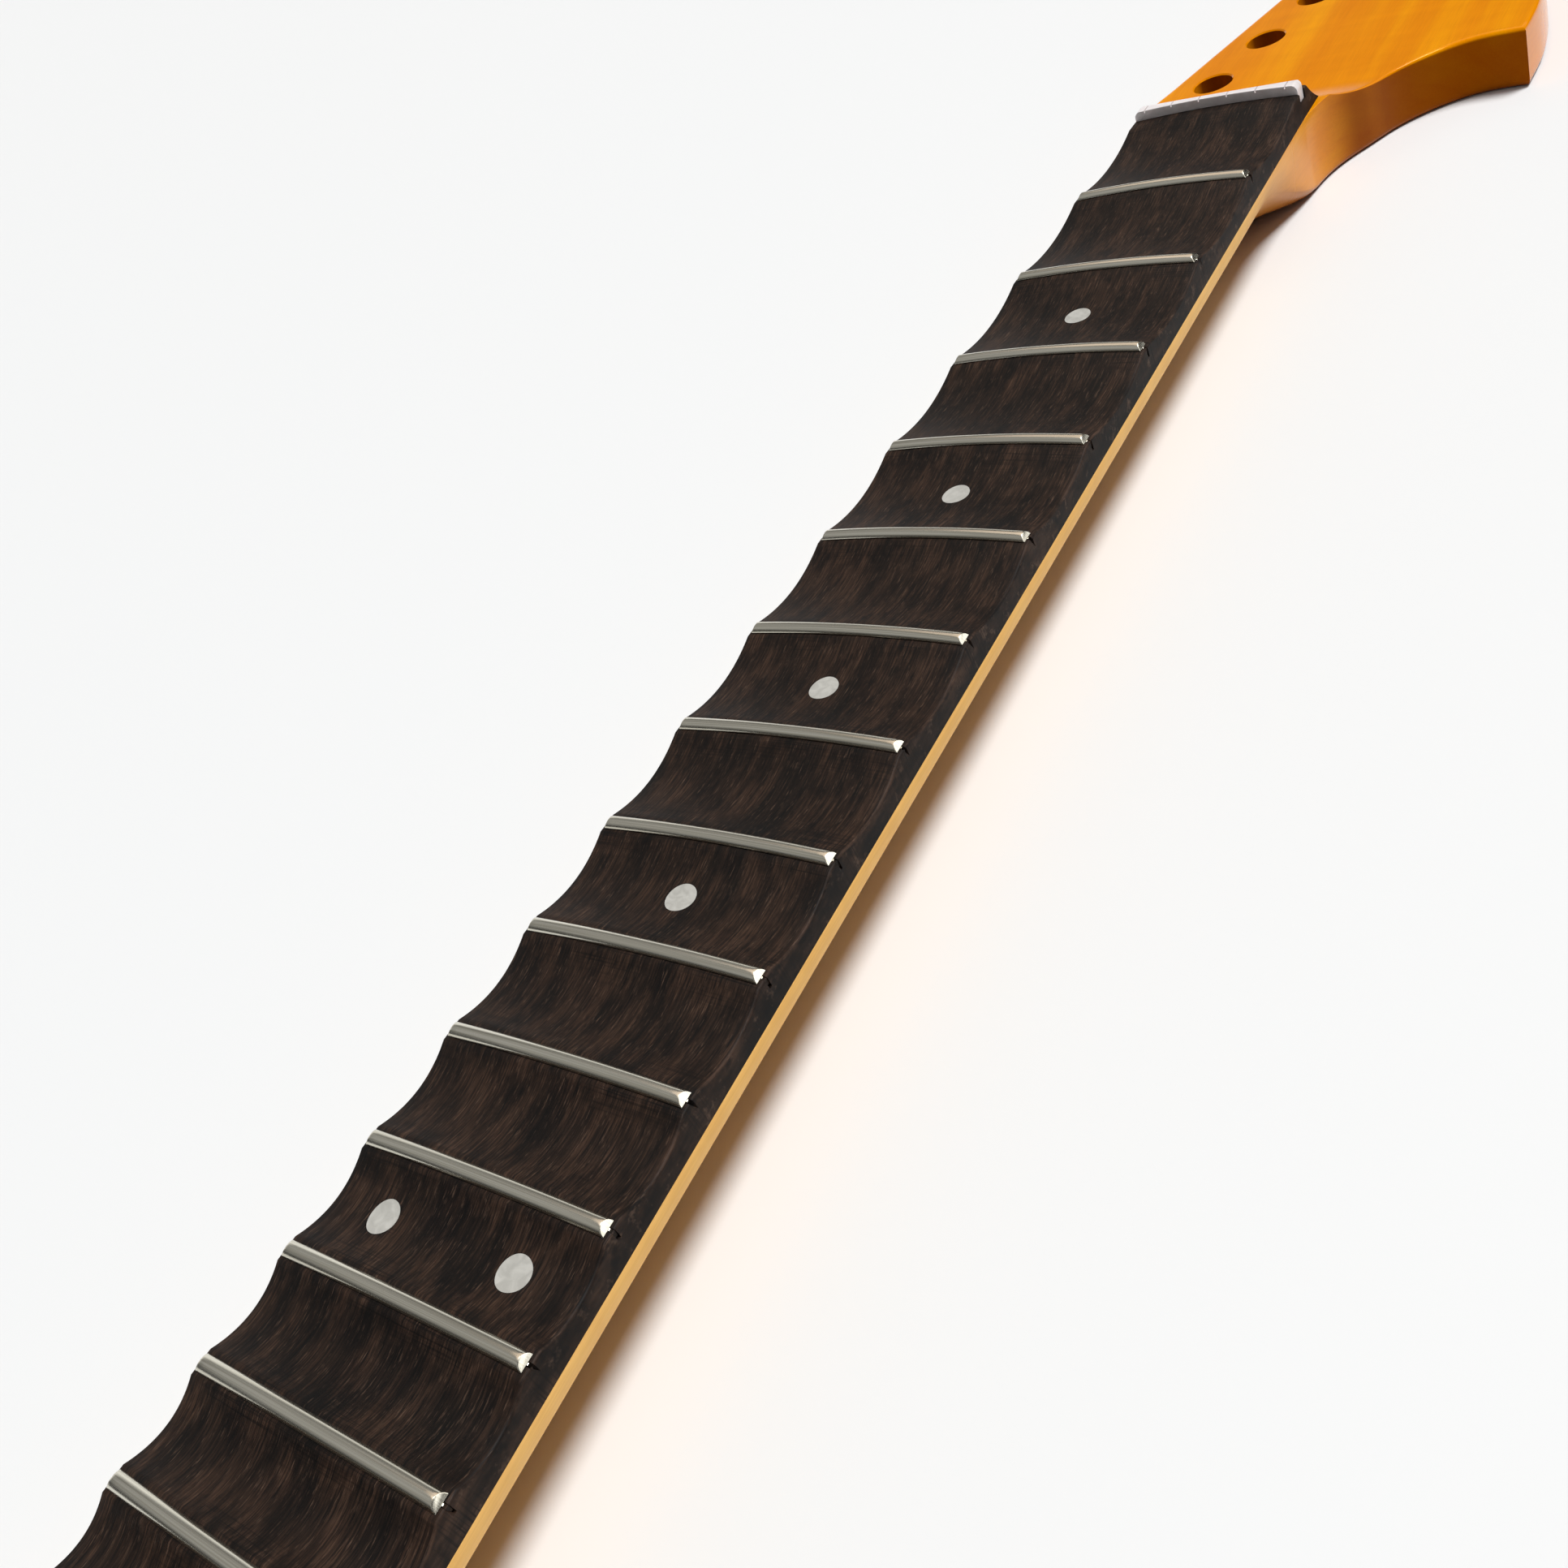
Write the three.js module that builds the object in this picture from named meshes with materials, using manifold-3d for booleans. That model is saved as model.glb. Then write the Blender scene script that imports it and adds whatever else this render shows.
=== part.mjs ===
// Electric guitar neck with a scalloped fingerboard, modelled as its separate pieces.
// Millimetres. X points to the treble side, Y to the headstock and Z up, from the back to the strings.
// The origin is the centre of the neck screw pattern on the flat back of the heel.
import * as THREE from 'three';
import { mergeVertices } from 'three/addons/utils/BufferGeometryUtils.js';
import Module from 'manifold-3d';

const wasm = await Module();
wasm.setup();

// Scale and frets
const scaleLength = 647.7;
const fretCount = 22;
const semitones = 12;
const dotFretCounts = [3, 5, 7, 9, 12, 15, 17, 19, 21];
const doubleDotFretCount = 12;

// Fingerboard
const nutWidth = 41.3;
const twelfthFretWidth = 51.5;
const boardRadius = 305;
const boardThickness = 6.8;
const boardOverhang = 11.4;
const boardEndThickness = 0.4;
const scallopDepth = 1.95;
const fretLand = 0.6;
const nutLand = 4;
const ledgeLength = 1.4;

// Frets
const crownWidth = 2.75;
const crownHeight = 1.25;
const tangThickness = 0.5;
const tangDepth = 1.6;
const fretEndInset = 0.7;
const fretEndAngle = THREE.MathUtils.degToRad(35);
const slotClearance = 0.1;
const seatClearance = 0.1;

// Nut
const nutThickness = 3.3;
const nutProud = 2.2;
const nutSeatDepth = 3;
const nutEndInset = 0.35;
const nutCornerRadius = 1.6;
const nutBackSlope = 0.5;
const nutSlotClearance = 0.05;
const stringCount = 6;
const stringSpread = 35;
const stringSlotDepth = 1;
const stringSlotWidth = 1;
const stringSlotFloorShare = 0.5;

// Position dots
const dotRadius = 2.8;
const dotThickness = 1.5;
const doubleDotSpacing = 27.3;
const sideDotRadius = 1;
const sideDotThickness = 1.6;
const sideDotHeight = 2;
const doubleSideDotSpacing = 5;
const dotClearance = 0.06;

// Shaft and heel
const heelThickness = 18.6;
const lastFretPastHeel = 3.3;
const heelFlatLength = 76;
const heelScoopLength = 34;
const heelCornerRadius = 11;
const heelEdgeRadius = 1.6;
const shaftDepthFirst = 14.2;
const shaftDepthTwelfth = 16.2;
const screwSpacingAcross = 38.1;
const screwSpacingAlong = 50.8;
const screwCentreFromHeelEnd = 38.9;
const pilotHoleRadius = 1.6;
const pilotHoleDepth = 16;

// Headstock
const headThickness = 14.3;
const tipPastLastTuner = 29.9;
const cornerReach = 60;
const flareLength = 39.5;
const scoopRadius = 27.1;
const scoopEnd = 26.1;
const backBlendStart = -29;
const backBlendEnd = 3;
const headEdgeRadius = 1.6;
const headEdgeEase = 1.1;
const shaftEdgeEase = 0.12;
const tunerCount = 6;
const tunerHoleRadius = 5;
const tunerPitch = 23.4;
const tunerRowLean = THREE.MathUtils.degToRad(17.2);
const firstTunerAcross = -16.4;
const firstTunerAlong = 39.3;
const tunerRowFromEdge = 11.4;

// Truss rod and its channel
const channelWidth = 6.4;
const channelDepth = 9;
const channelEndFromHeel = 34;
const pieceClearance = 0.15;
const rodRadius = 2.4;
const rodAxisDepth = 6;
const rodBoreClearance = 0.2;
const barHeight = 3;
const blockLength = 12;
const headBlockFromNut = 4.5;
const barrelRadius = 3.8;
const barrelLength = 13;
const barrelBoreClearance = 0.4;
const socketAcrossFlats = 4.75;
const socketDepth = 8;
const accessLength = 30;
const accessRampStart = 12;
const rodTail = 3;
const hexSides = 6;

// Facets
const boardFacets = 4;
const scallopStep = 5.5;
const fewestScallopSteps = 4;
const holeSides = 20;
const smallHoleSides = 12;
const rodSides = 16;
const keySides = 16;
const noseSteps = 5;
const cutOverrun = 2;
const weldDistance = 1e-4;

// Finishes
const maple = new THREE.MeshStandardMaterial({ color: 0xd98a1e, roughness: 0.25, metalness: 0 });
const rosewood = new THREE.MeshStandardMaterial({ color: 0x2c211c, roughness: 0.6, metalness: 0 });
const nickelSilver = new THREE.MeshStandardMaterial({ color: 0xa9a898, roughness: 0.25, metalness: 1 });
const bone = new THREE.MeshStandardMaterial({ color: 0xe4dfe2, roughness: 0.35, metalness: 0 });
const pearloid = new THREE.MeshStandardMaterial({ color: 0xc9c6bb, roughness: 0.3, metalness: 0 });
const steel = new THREE.MeshStandardMaterial({ color: 0x8b8d90, roughness: 0.4, metalness: 1 });

function fretFromNut(n) {
  return scaleLength * (1 - Math.pow(2, -n / semitones));
}

// Levels and places that follow from the sizes above. Y is measured from the nut's front face.
const glueLevel = heelThickness;
const crownLevel = glueLevel + boardThickness;
const heelFromNut = fretFromNut(fretCount) - lastFretPastHeel;
const nutToScrewCentre = heelFromNut - screwCentreFromHeelEnd;
const boardEnd = -(heelFromNut + boardOverhang);
const nutSlotWidth = nutThickness + 2 * nutSlotClearance;
const ledgeTopEnd = nutSlotWidth + ledgeLength;
const rodLevel = glueLevel - rodAxisDepth;
const tunerRowLength = (tunerCount - 1) * tunerPitch * Math.cos(tunerRowLean);
const headLength = firstTunerAlong + tunerRowLength + tipPastLastTuner;

function boardHalfWidth(y) {
  const taper = (twelfthFretWidth - nutWidth) / fretFromNut(semitones);
  return (nutWidth - taper * Math.min(y, 0)) / 2;
}

function crossFall(x) {
  return boardRadius - Math.sqrt(boardRadius * boardRadius - x * x);
}

// The scooped step from the board's end down to the headstock's face is one arc.
function scoopLevel(y) {
  const run = Math.max(scoopEnd - y, 0);
  return headThickness + scoopRadius - Math.sqrt(scoopRadius * scoopRadius - run * run);
}

function scoopPlace(level) {
  const rise = scoopRadius - (level - headThickness);
  return scoopEnd - Math.sqrt(scoopRadius * scoopRadius - rise * rise);
}

const scoopMeetsGlue = scoopPlace(glueLevel);

// Helpers between three.js geometry and solids that can be cut and joined
function solidOf(geometry) {
  const bare = geometry.clone();
  bare.deleteAttribute('normal');
  bare.deleteAttribute('uv');
  const merged = mergeVertices(bare, weldDistance);
  return new wasm.Manifold(new wasm.Mesh({
    numProp: 3,
    vertProperties: new Float32Array(merged.attributes.position.array),
    triVerts: new Uint32Array(merged.index.array),
  }));
}

function geometryOf(solid) {
  const mesh = solid.getMesh();
  const geometry = new THREE.BufferGeometry();
  geometry.setAttribute('position', new THREE.BufferAttribute(mesh.vertProperties, mesh.numProp));
  geometry.setIndex(new THREE.BufferAttribute(mesh.triVerts, 1));
  geometry.computeVertexNormals();
  return geometry;
}

// Joins equal rings of points into one closed skin. flat gives the plane in which an end is filled.
function loft(rings, flat) {
  const count = rings[0].length;
  const positions = rings.flat().flatMap((p) => [p.x, p.y, p.z]);
  const faces = [];
  for (let i = 0; i + 1 < rings.length; i += 1) {
    for (let j = 0; j < count; j += 1) {
      const k = (j + 1) % count;
      const a = i * count + j;
      const b = i * count + k;
      faces.push(a, b, a + count, b, b + count, a + count);
    }
  }
  const last = (rings.length - 1) * count;
  for (const [a, b, c] of fillOf(rings[0].map(flat))) faces.push(a, c, b);
  for (const t of fillOf(rings[rings.length - 1].map(flat))) faces.push(...t.map((i) => last + i));
  const geometry = new THREE.BufferGeometry();
  geometry.setAttribute('position', new THREE.Float32BufferAttribute(positions, 3));
  geometry.setIndex(faces);
  return facingOut(geometry);
}

// Triangles that fill a ring, turned the way the ring runs
function fillOf(points) {
  const triangles = THREE.ShapeUtils.triangulateShape(points.map((p) => p.clone()), []);
  const filled = triangles.reduce((sum, t) => sum + THREE.ShapeUtils.area(t.map((i) => points[i])), 0);
  const sameWay = Math.sign(filled) === Math.sign(THREE.ShapeUtils.area(points));
  return sameWay ? triangles : triangles.map(([a, b, c]) => [a, c, b]);
}

function facingOut(geometry) {
  const p = geometry.attributes.position;
  const index = geometry.index.array;
  const [a, b, c] = [new THREE.Vector3(), new THREE.Vector3(), new THREE.Vector3()];
  let volume = 0;
  for (let i = 0; i < index.length; i += 3) {
    a.fromBufferAttribute(p, index[i]);
    b.fromBufferAttribute(p, index[i + 1]);
    c.fromBufferAttribute(p, index[i + 2]);
    volume += a.dot(b.cross(c));
  }
  if (volume < 0) {
    for (let i = 0; i < index.length; i += 3) [index[i], index[i + 1]] = [index[i + 1], index[i]];
  }
  return geometry;
}

// A block from its lowest to its highest corner
function block(x0, x1, y0, y1, z0, z1) {
  const box = new THREE.BoxGeometry(x1 - x0, y1 - y0, z1 - z0);
  return box.translate((x0 + x1) / 2, (y0 + y1) / 2, (z0 + z1) / 2);
}

// A round bar or drill along Z, from z0 to z1
function post(x, y, z0, z1, radius, sides) {
  const bar = new THREE.CylinderGeometry(radius, radius, z1 - z0, sides);
  return bar.rotateX(Math.PI / 2).translate(x, y, (z0 + z1) / 2);
}

// The same along Y, turned so that a flat faces up
function lengthwiseBar(y0, y1, radius, sides) {
  const bar = new THREE.CylinderGeometry(radius, radius, y1 - y0, sides);
  return bar.rotateY(Math.PI / sides).translate(0, (y0 + y1) / 2, rodLevel);
}

function smooth(value, from, to) {
  return THREE.MathUtils.smoothstep(value, from, to);
}

const guitarNeck = new THREE.Group();
guitarNeck.name = 'electric_guitar_neck';
const fromNut = new THREE.Group();
fromNut.position.y = nutToScrewCentre;
guitarNeck.add(fromNut);

function addPiece(name, geometry, material) {
  const mesh = new THREE.Mesh(geometry, material);
  mesh.name = name;
  fromNut.add(mesh);
}

// Neck blank: plan outline. Each share is part of the way from the board's edge to the corner's reach
// (across) and of the flare's or the headstock's length (along).
const trebleFlareShares = [[0.012, 0.1], [0.045, 0.23], [0.1, 0.36], [0.19, 0.51], [0.31, 0.7], [0.45, 0.84],
  [0.617, 0.947], [0.78, 0.995], [1, 1]];
const bassFlareShares = [[0, 0.16], [0.17, 0.33], [0.49, 0.51], [0.84, 0.66], [0.985, 0.785]];
const trebleSideShares = [[1.002, 0.288], [0.98, 0.354], [0.938, 0.42], [0.882, 0.487], [0.828, 0.564],
  [0.798, 0.652], [0.79, 0.752], [0.78, 0.84], [0.752, 0.908], [0.688, 0.96], [0.6, 0.99], [0.51, 1]];
const bassTipShares = [[0.222, 0.947], [0.3, 0.977], [0.36, 0.993], [0.41, 1]];
const bassTipStartShare = 0.905;
const trebleTipFrom = 8;
const sameShare = 1e-6;

function headPoint([across, along]) {
  return new THREE.Vector2(across * cornerReach, along * headLength);
}

function bassEdgeAt(along) {
  const edge = firstTunerAcross - tunerRowFromEdge / Math.cos(tunerRowLean);
  return new THREE.Vector2(edge + (along - firstTunerAlong) * Math.tan(tunerRowLean), along);
}

function flareCurve(side, shares, reach, extra) {
  const edge = side * boardHalfWidth(0);
  const points = shares.map(([across, along]) => new THREE.Vector2(
    edge + across * (side * reach - edge),
    along * flareLength,
  ));
  return new THREE.SplineCurve([new THREE.Vector2(edge, 0), ...points, ...extra]);
}

const bassReach = -bassEdgeAt(flareLength * bassFlareShares[bassFlareShares.length - 1][1]).x;
const trebleFlare = flareCurve(1, trebleFlareShares, cornerReach, []);
const bassFlare = flareCurve(-1, bassFlareShares, bassReach, [bassEdgeAt(flareLength)]);
const corner = new THREE.Vector2(cornerReach, flareLength);
const trebleSide = new THREE.SplineCurve([corner, ...trebleSideShares.map(headPoint)]);
const bassTipStart = bassEdgeAt(bassTipStartShare * headLength);
const bassTip = new THREE.SplineCurve([bassTipStart, ...bassTipShares.map(headPoint)]);

function shareAtHeight(curve, y) {
  let low = 0;
  let high = 1;
  while (high - low > sameShare) {
    const middle = (low + high) / 2;
    if (curve.getPoint(middle).y < y) low = middle;
    else high = middle;
  }
  return low;
}

function steps(from, to, count) {
  return Array.from({ length: count }, (_, i) => THREE.MathUtils.lerp(from, to, (i + 1) / count));
}

// Neck blank: pairs of points on the treble and the bass edge, from the heel's end to the tip
const heelCornerSteps = 5;
const heelSteps = 2;
const scoopSteps = 8;
const shaftSteps = 9;
const blendSteps = 8;
const flareSteps = 8;
const hornSteps = 9;
const sideSteps = 9;
const tipSteps = 6;

function heelPair(turn) {
  const y = -heelFromNut + heelCornerRadius * (1 - Math.cos(turn));
  const half = boardHalfWidth(y) - heelCornerRadius * (1 - Math.sin(turn));
  return [new THREE.Vector2(half, y), new THREE.Vector2(-half, y)];
}

function shaftPair(y) {
  const half = boardHalfWidth(y);
  return [new THREE.Vector2(half, y), new THREE.Vector2(-half, y)];
}

function flarePair(y) {
  return [
    trebleFlare.getPoint(shareAtHeight(trebleFlare, y)),
    bassFlare.getPoint(shareAtHeight(bassFlare, y)),
  ];
}

function curvePairs(treble, bass, trebleRange, bassRange, count) {
  const bassShares = steps(...bassRange, count);
  return steps(...trebleRange, count).map((t, i) => [treble.getPoint(t), bass.getPoint(bassShares[i])]);
}

function outlinePairs() {
  const heelFlatEnd = -heelFromNut + heelFlatLength;
  const scoopStart = heelFlatEnd + heelScoopLength;
  const tipShare = trebleTipFrom / trebleSideShares.length;
  const bassStraight = new THREE.LineCurve(bassEdgeAt(flareLength), bassTip.points[0]);
  const trebleAtScoopEnd = shareAtHeight(trebleFlare, scoopEnd);
  const bassAtScoopEnd = shareAtHeight(bassFlare, scoopEnd);
  return [
    heelPair(0),
    ...steps(0, Math.PI / 2, heelCornerSteps).map(heelPair),
    ...steps(-heelFromNut + heelCornerRadius, heelFlatEnd, heelSteps).map(shaftPair),
    ...steps(heelFlatEnd, scoopStart, scoopSteps).map(shaftPair),
    ...steps(scoopStart, backBlendStart, shaftSteps).map(shaftPair),
    ...steps(backBlendStart, 0, blendSteps).map(shaftPair),
    ...steps(0, scoopMeetsGlue, flareSteps / 2).map(flarePair),
    ...steps(scoopMeetsGlue, scoopEnd, flareSteps).map(flarePair),
    ...curvePairs(trebleFlare, bassFlare, [trebleAtScoopEnd, 1], [bassAtScoopEnd, 1], hornSteps),
    ...curvePairs(trebleSide, bassStraight, [0, tipShare], [0, 1], sideSteps),
    ...curvePairs(trebleSide, bassTip, [tipShare, 1], [0, 1], tipSteps),
  ];
}

// Neck blank: cross-section, from the edge (0) to the middle of the back (1), as inset and drop
const wallPoints = 3;
const cornerPoints = 4;
const backPoints = 3;
const sectionPoints = wallPoints + cornerPoints + backPoints;
const roundness = 1.8;
const edgeRoundShare = 0.5;

function carvedPoint(j, halfWidth, depth) {
  const angle = (j / sectionPoints) * (Math.PI / 2);
  return new THREE.Vector2(
    halfWidth * (1 - Math.pow(Math.cos(angle), 2 / roundness)),
    depth * Math.pow(Math.sin(angle), 2 / roundness),
  );
}

function squarePoint(j, halfWidth, depth, radius) {
  if (j <= wallPoints) return new THREE.Vector2(0, (depth - radius) * (j / wallPoints));
  if (j >= wallPoints + cornerPoints) {
    const share = (j - wallPoints - cornerPoints) / backPoints;
    return new THREE.Vector2(THREE.MathUtils.lerp(radius, halfWidth, share), depth);
  }
  const angle = ((j - wallPoints) / cornerPoints) * (Math.PI / 2);
  return new THREE.Vector2(radius * (1 - Math.cos(angle)), depth - radius * (1 - Math.sin(angle)));
}

function woodDepth(y) {
  const first = fretFromNut(1);
  const slope = (shaftDepthTwelfth - shaftDepthFirst) / (fretFromNut(semitones) - first);
  const shaft = shaftDepthFirst + slope * (-y - first);
  return THREE.MathUtils.lerp(shaft, heelThickness, squareness(y));
}

// 0 on the carved shaft, 1 on the flat-backed heel and headstock
function squareness(y) {
  const heelFlatEnd = -heelFromNut + heelFlatLength;
  const heel = 1 - smooth(y, heelFlatEnd, heelFlatEnd + heelScoopLength);
  const head = smooth(y, backBlendStart, backBlendEnd);
  return Math.max(heel, head);
}

function inwardNormals(points, side) {
  return points.map((p, i) => {
    const before = points[Math.max(i - 1, 0)];
    const after = points[Math.min(i + 1, points.length - 1)];
    const one = p.clone().sub(before).normalize();
    const two = after.clone().sub(p).normalize();
    if (i === 0 || i === points.length - 1) return new THREE.Vector2(-side, 0);
    const sum = new THREE.Vector2(-(one.y + two.y), one.x + two.x).multiplyScalar(side);
    return sum.divideScalar(1 + one.dot(two));
  });
}

function neckRing([treble, bass], [trebleNormal, bassNormal], y) {
  const square = squareness(y);
  const onHead = smooth(y, scoopMeetsGlue, scoopEnd);
  const ease = THREE.MathUtils.lerp(shaftEdgeEase, headEdgeEase, onHead);
  const top = y < scoopMeetsGlue ? glueLevel : scoopLevel(y);
  const bottom = glueLevel - woodDepth(y);
  const middle = treble.clone().add(bass).divideScalar(2);
  const half = treble.distanceTo(bass) / 2;
  const radius = Math.min(y < 0 ? heelEdgeRadius : headEdgeRadius, half * edgeRoundShare);
  const sidePoints = (edge, normal) => Array.from({ length: sectionPoints + 1 }, (_, j) => {
    const depth = top - ease - bottom;
    const place = carvedPoint(j, half, depth).lerp(squarePoint(j, half, depth, radius), square);
    const near = Math.min(place.x, radius);
    const far = (place.x - near) / (half - radius);
    const plan = edge.clone().addScaledVector(normal, near).lerp(middle, far);
    return new THREE.Vector3(plan.x, plan.y, top - ease - place.y);
  });
  const rim = (edge, normal) => {
    const plan = edge.clone().addScaledVector(normal, ease);
    return new THREE.Vector3(plan.x, plan.y, top);
  };
  return [
    rim(treble, trebleNormal),
    ...sidePoints(treble, trebleNormal),
    ...sidePoints(bass, bassNormal).slice(0, -1).reverse(),
    rim(bass, bassNormal),
  ];
}

function neckBlank() {
  const pairs = outlinePairs();
  const trebleNormals = inwardNormals(pairs.map(([treble]) => treble), 1);
  const bassNormals = inwardNormals(pairs.map(([, bass]) => bass), -1);
  const rings = pairs.map((pair, i) => neckRing(
    pair,
    [trebleNormals[i], bassNormals[i]],
    Math.min(pair[0].y, pair[1].y),
  ));
  return solidOf(loft(rings, (p) => new THREE.Vector2(p.x, p.z)));
}

function tunerHoles() {
  return Array.from({ length: tunerCount }, (_, i) => {
    const x = firstTunerAcross + i * tunerPitch * Math.sin(tunerRowLean);
    const y = firstTunerAlong + i * tunerPitch * Math.cos(tunerRowLean);
    return solidOf(post(x, y, -cutOverrun, headThickness + cutOverrun, tunerHoleRadius, holeSides));
  });
}

function pilotHoles() {
  const holes = [];
  for (const across of [-1, 1]) {
    for (const along of [-1, 1]) {
      const x = (across * screwSpacingAcross) / 2;
      const y = (along * screwSpacingAlong) / 2 - nutToScrewCentre;
      holes.push(solidOf(post(x, y, -cutOverrun, pilotHoleDepth, pilotHoleRadius, smallHoleSides)));
    }
  }
  return holes;
}

// Channel for the rod, and the wider pocket with a ramp through which a hex key reaches the socket
const channelEnd = -(heelFromNut - channelEndFromHeel);
const accessHalfWidth = barrelRadius + barrelBoreClearance;
const accessStart = -headBlockFromNut + pieceClearance;

function rodChannel() {
  const half = channelWidth / 2;
  const floor = glueLevel - channelDepth;
  return solidOf(block(-half, half, channelEnd, 0, floor, glueLevel + cutOverrun));
}

function accessPocket() {
  const floor = rodLevel - accessHalfWidth;
  const above = glueLevel + cutOverrun;
  const side = new THREE.Shape([
    new THREE.Vector2(accessStart, floor),
    new THREE.Vector2(accessRampStart, floor),
    new THREE.Vector2(accessLength, headThickness),
    new THREE.Vector2(accessLength, above),
    new THREE.Vector2(accessStart, above),
  ]);
  const depth = 2 * accessHalfWidth;
  const wedge = new THREE.ExtrudeGeometry(side, { depth, bevelEnabled: false });
  wedge.applyMatrix4(new THREE.Matrix4().makeBasis(
    new THREE.Vector3(0, 1, 0),
    new THREE.Vector3(0, 0, 1),
    new THREE.Vector3(1, 0, 0),
  ));
  wedge.translate(-accessHalfWidth, 0, 0);
  const plan = new THREE.Shape();
  plan.moveTo(-accessHalfWidth, accessStart);
  plan.lineTo(accessHalfWidth, accessStart);
  plan.absarc(0, accessLength - accessHalfWidth, accessHalfWidth, 0, Math.PI, false);
  const curveSegments = keySides / 2;
  const column = new THREE.ExtrudeGeometry(plan, { depth: above, bevelEnabled: false, curveSegments });
  return solidOf(wedge).intersect(solidOf(column));
}

function neckSolid() {
  let neck = neckBlank();
  for (const cut of [...tunerHoles(), ...pilotHoles(), rodChannel(), accessPocket()]) {
    neck = neck.subtract(cut);
  }
  return neck;
}

// Fingerboard: level of the top along the centre line
function scallopSpan(n) {
  const land = crownWidth / 2 + fretLand;
  const low = -fretFromNut(n) + land;
  const high = n === 1 ? -nutLand : -fretFromNut(n - 1) - land;
  return [low, high];
}

function boardStations() {
  const stations = [[boardEnd, crownLevel]];
  for (let n = fretCount; n >= 1; n -= 1) {
    const [low, high] = scallopSpan(n);
    const count = Math.max(Math.round((high - low) / scallopStep), fewestScallopSteps);
    for (let i = 0; i <= count; i += 1) {
      const y = THREE.MathUtils.lerp(low, high, i / count);
      const fromMiddle = (2 * i) / count - 1;
      stations.push([y, crownLevel - scallopDepth * (1 - fromMiddle * fromMiddle)]);
    }
  }
  stations.push([ledgeTopEnd, crownLevel]);
  return stations;
}

function boardRing(y, level) {
  const half = boardHalfWidth(y);
  const ring = [new THREE.Vector3(-half, y, glueLevel), new THREE.Vector3(half, y, glueLevel)];
  for (let i = 0; i <= boardFacets; i += 1) {
    const x = half * (1 - (2 * i) / boardFacets);
    ring.push(new THREE.Vector3(x, y, level - crossFall(x)));
  }
  return ring;
}

// Behind the nut the board's end follows the scoop, down to a thin edge on the glue line.
function boardNoseRings() {
  const start = crownLevel - crossFall(boardHalfWidth(0));
  const end = glueLevel + boardEndThickness;
  return steps(start, end, noseSteps).map((level) => {
    const ring = boardRing(Math.max(scoopPlace(level), ledgeTopEnd), crownLevel);
    for (const p of ring) p.z = Math.min(p.z, level);
    return ring;
  });
}

function boardBlank() {
  const rings = boardStations().map(([y, level]) => boardRing(y, level));
  return solidOf(loft([...rings, ...boardNoseRings()], (p) => new THREE.Vector2(p.x, p.z)));
}

const widestHalf = boardHalfWidth(boardEnd) + cutOverrun;
const slotHalfWidth = tangThickness / 2 + slotClearance;
const slotFloor = crownLevel - tangDepth - slotClearance - crossFall(boardHalfWidth(boardEnd));
const nutSlotFloor = crownLevel - nutSeatDepth;
const above = crownLevel + cutOverrun;

function fretSlots() {
  return Array.from({ length: fretCount }, (_, i) => {
    const y = -fretFromNut(i + 1);
    return solidOf(block(-widestHalf, widestHalf, y - slotHalfWidth, y + slotHalfWidth, slotFloor, above));
  });
}

function nutSlot() {
  return solidOf(block(-widestHalf, widestHalf, 0, nutSlotWidth, nutSlotFloor, above));
}

// Places of the face dots and of the side dots: name, across and along
function betweenFrets(n) {
  return -(fretFromNut(n) + fretFromNut(n - 1)) / 2;
}

function numbered(name, n) {
  return `${name}_${String(n).padStart(2, '0')}`;
}

function faceDotPlaces() {
  return dotFretCounts.flatMap((n) => {
    const name = numbered('dot', n);
    const y = betweenFrets(n);
    if (n !== doubleDotFretCount) return [{ name, x: 0, y }];
    const x = doubleDotSpacing / 2;
    return [{ name: `${name}_bass`, x: -x, y }, { name: `${name}_treble`, x, y }];
  });
}

function sideDotPlaces() {
  return dotFretCounts.flatMap((n) => {
    const name = numbered('side_dot', n);
    const y = betweenFrets(n);
    if (n !== doubleDotFretCount) return [{ name, y }];
    const apart = doubleSideDotSpacing / 2;
    return [{ name: `${name}_head`, y: y + apart }, { name: `${name}_heel`, y: y - apart }];
  });
}

function dotPlug({ x, y }, radius, floor) {
  return solidOf(post(x, y, floor, above, radius, holeSides));
}

function dotFloor({ x }) {
  return crownLevel - scallopDepth - crossFall(x) - dotThickness;
}

function sideDotPlug({ y }, radius) {
  const inner = -boardHalfWidth(y) + sideDotThickness;
  const outer = inner - sideDotThickness - cutOverrun;
  const bar = new THREE.CylinderGeometry(radius, radius, inner - outer, smallHoleSides);
  bar.rotateZ(Math.PI / 2).translate((inner + outer) / 2, y, glueLevel + sideDotHeight);
  return solidOf(bar);
}

function boardSolid(blank) {
  let board = blank;
  const pockets = [
    ...fretSlots(),
    nutSlot(),
    ...faceDotPlaces().map((place) => dotPlug(place, dotRadius + dotClearance, dotFloor(place))),
    ...sideDotPlaces().map((place) => sideDotPlug(place, sideDotRadius + dotClearance)),
  ];
  for (const pocket of pockets) board = board.subtract(pocket);
  return board;
}

function addDots(blank) {
  for (const place of faceDotPlaces()) {
    const dot = dotPlug(place, dotRadius, dotFloor(place)).intersect(blank);
    addPiece(place.name, geometryOf(dot), pearloid);
  }
  for (const place of sideDotPlaces()) {
    const dot = sideDotPlug(place, sideDotRadius).intersect(blank);
    addPiece(place.name, geometryOf(dot), pearloid);
  }
}

// Fret wire: a rounded crown over a thin tang, bent to the board's radius and bevelled at both ends
const crownShares = [[-1, 0], [-0.93, 0.45], [-0.62, 0.84], [0, 1], [0.62, 0.84], [0.93, 0.45], [1, 0]];

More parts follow.
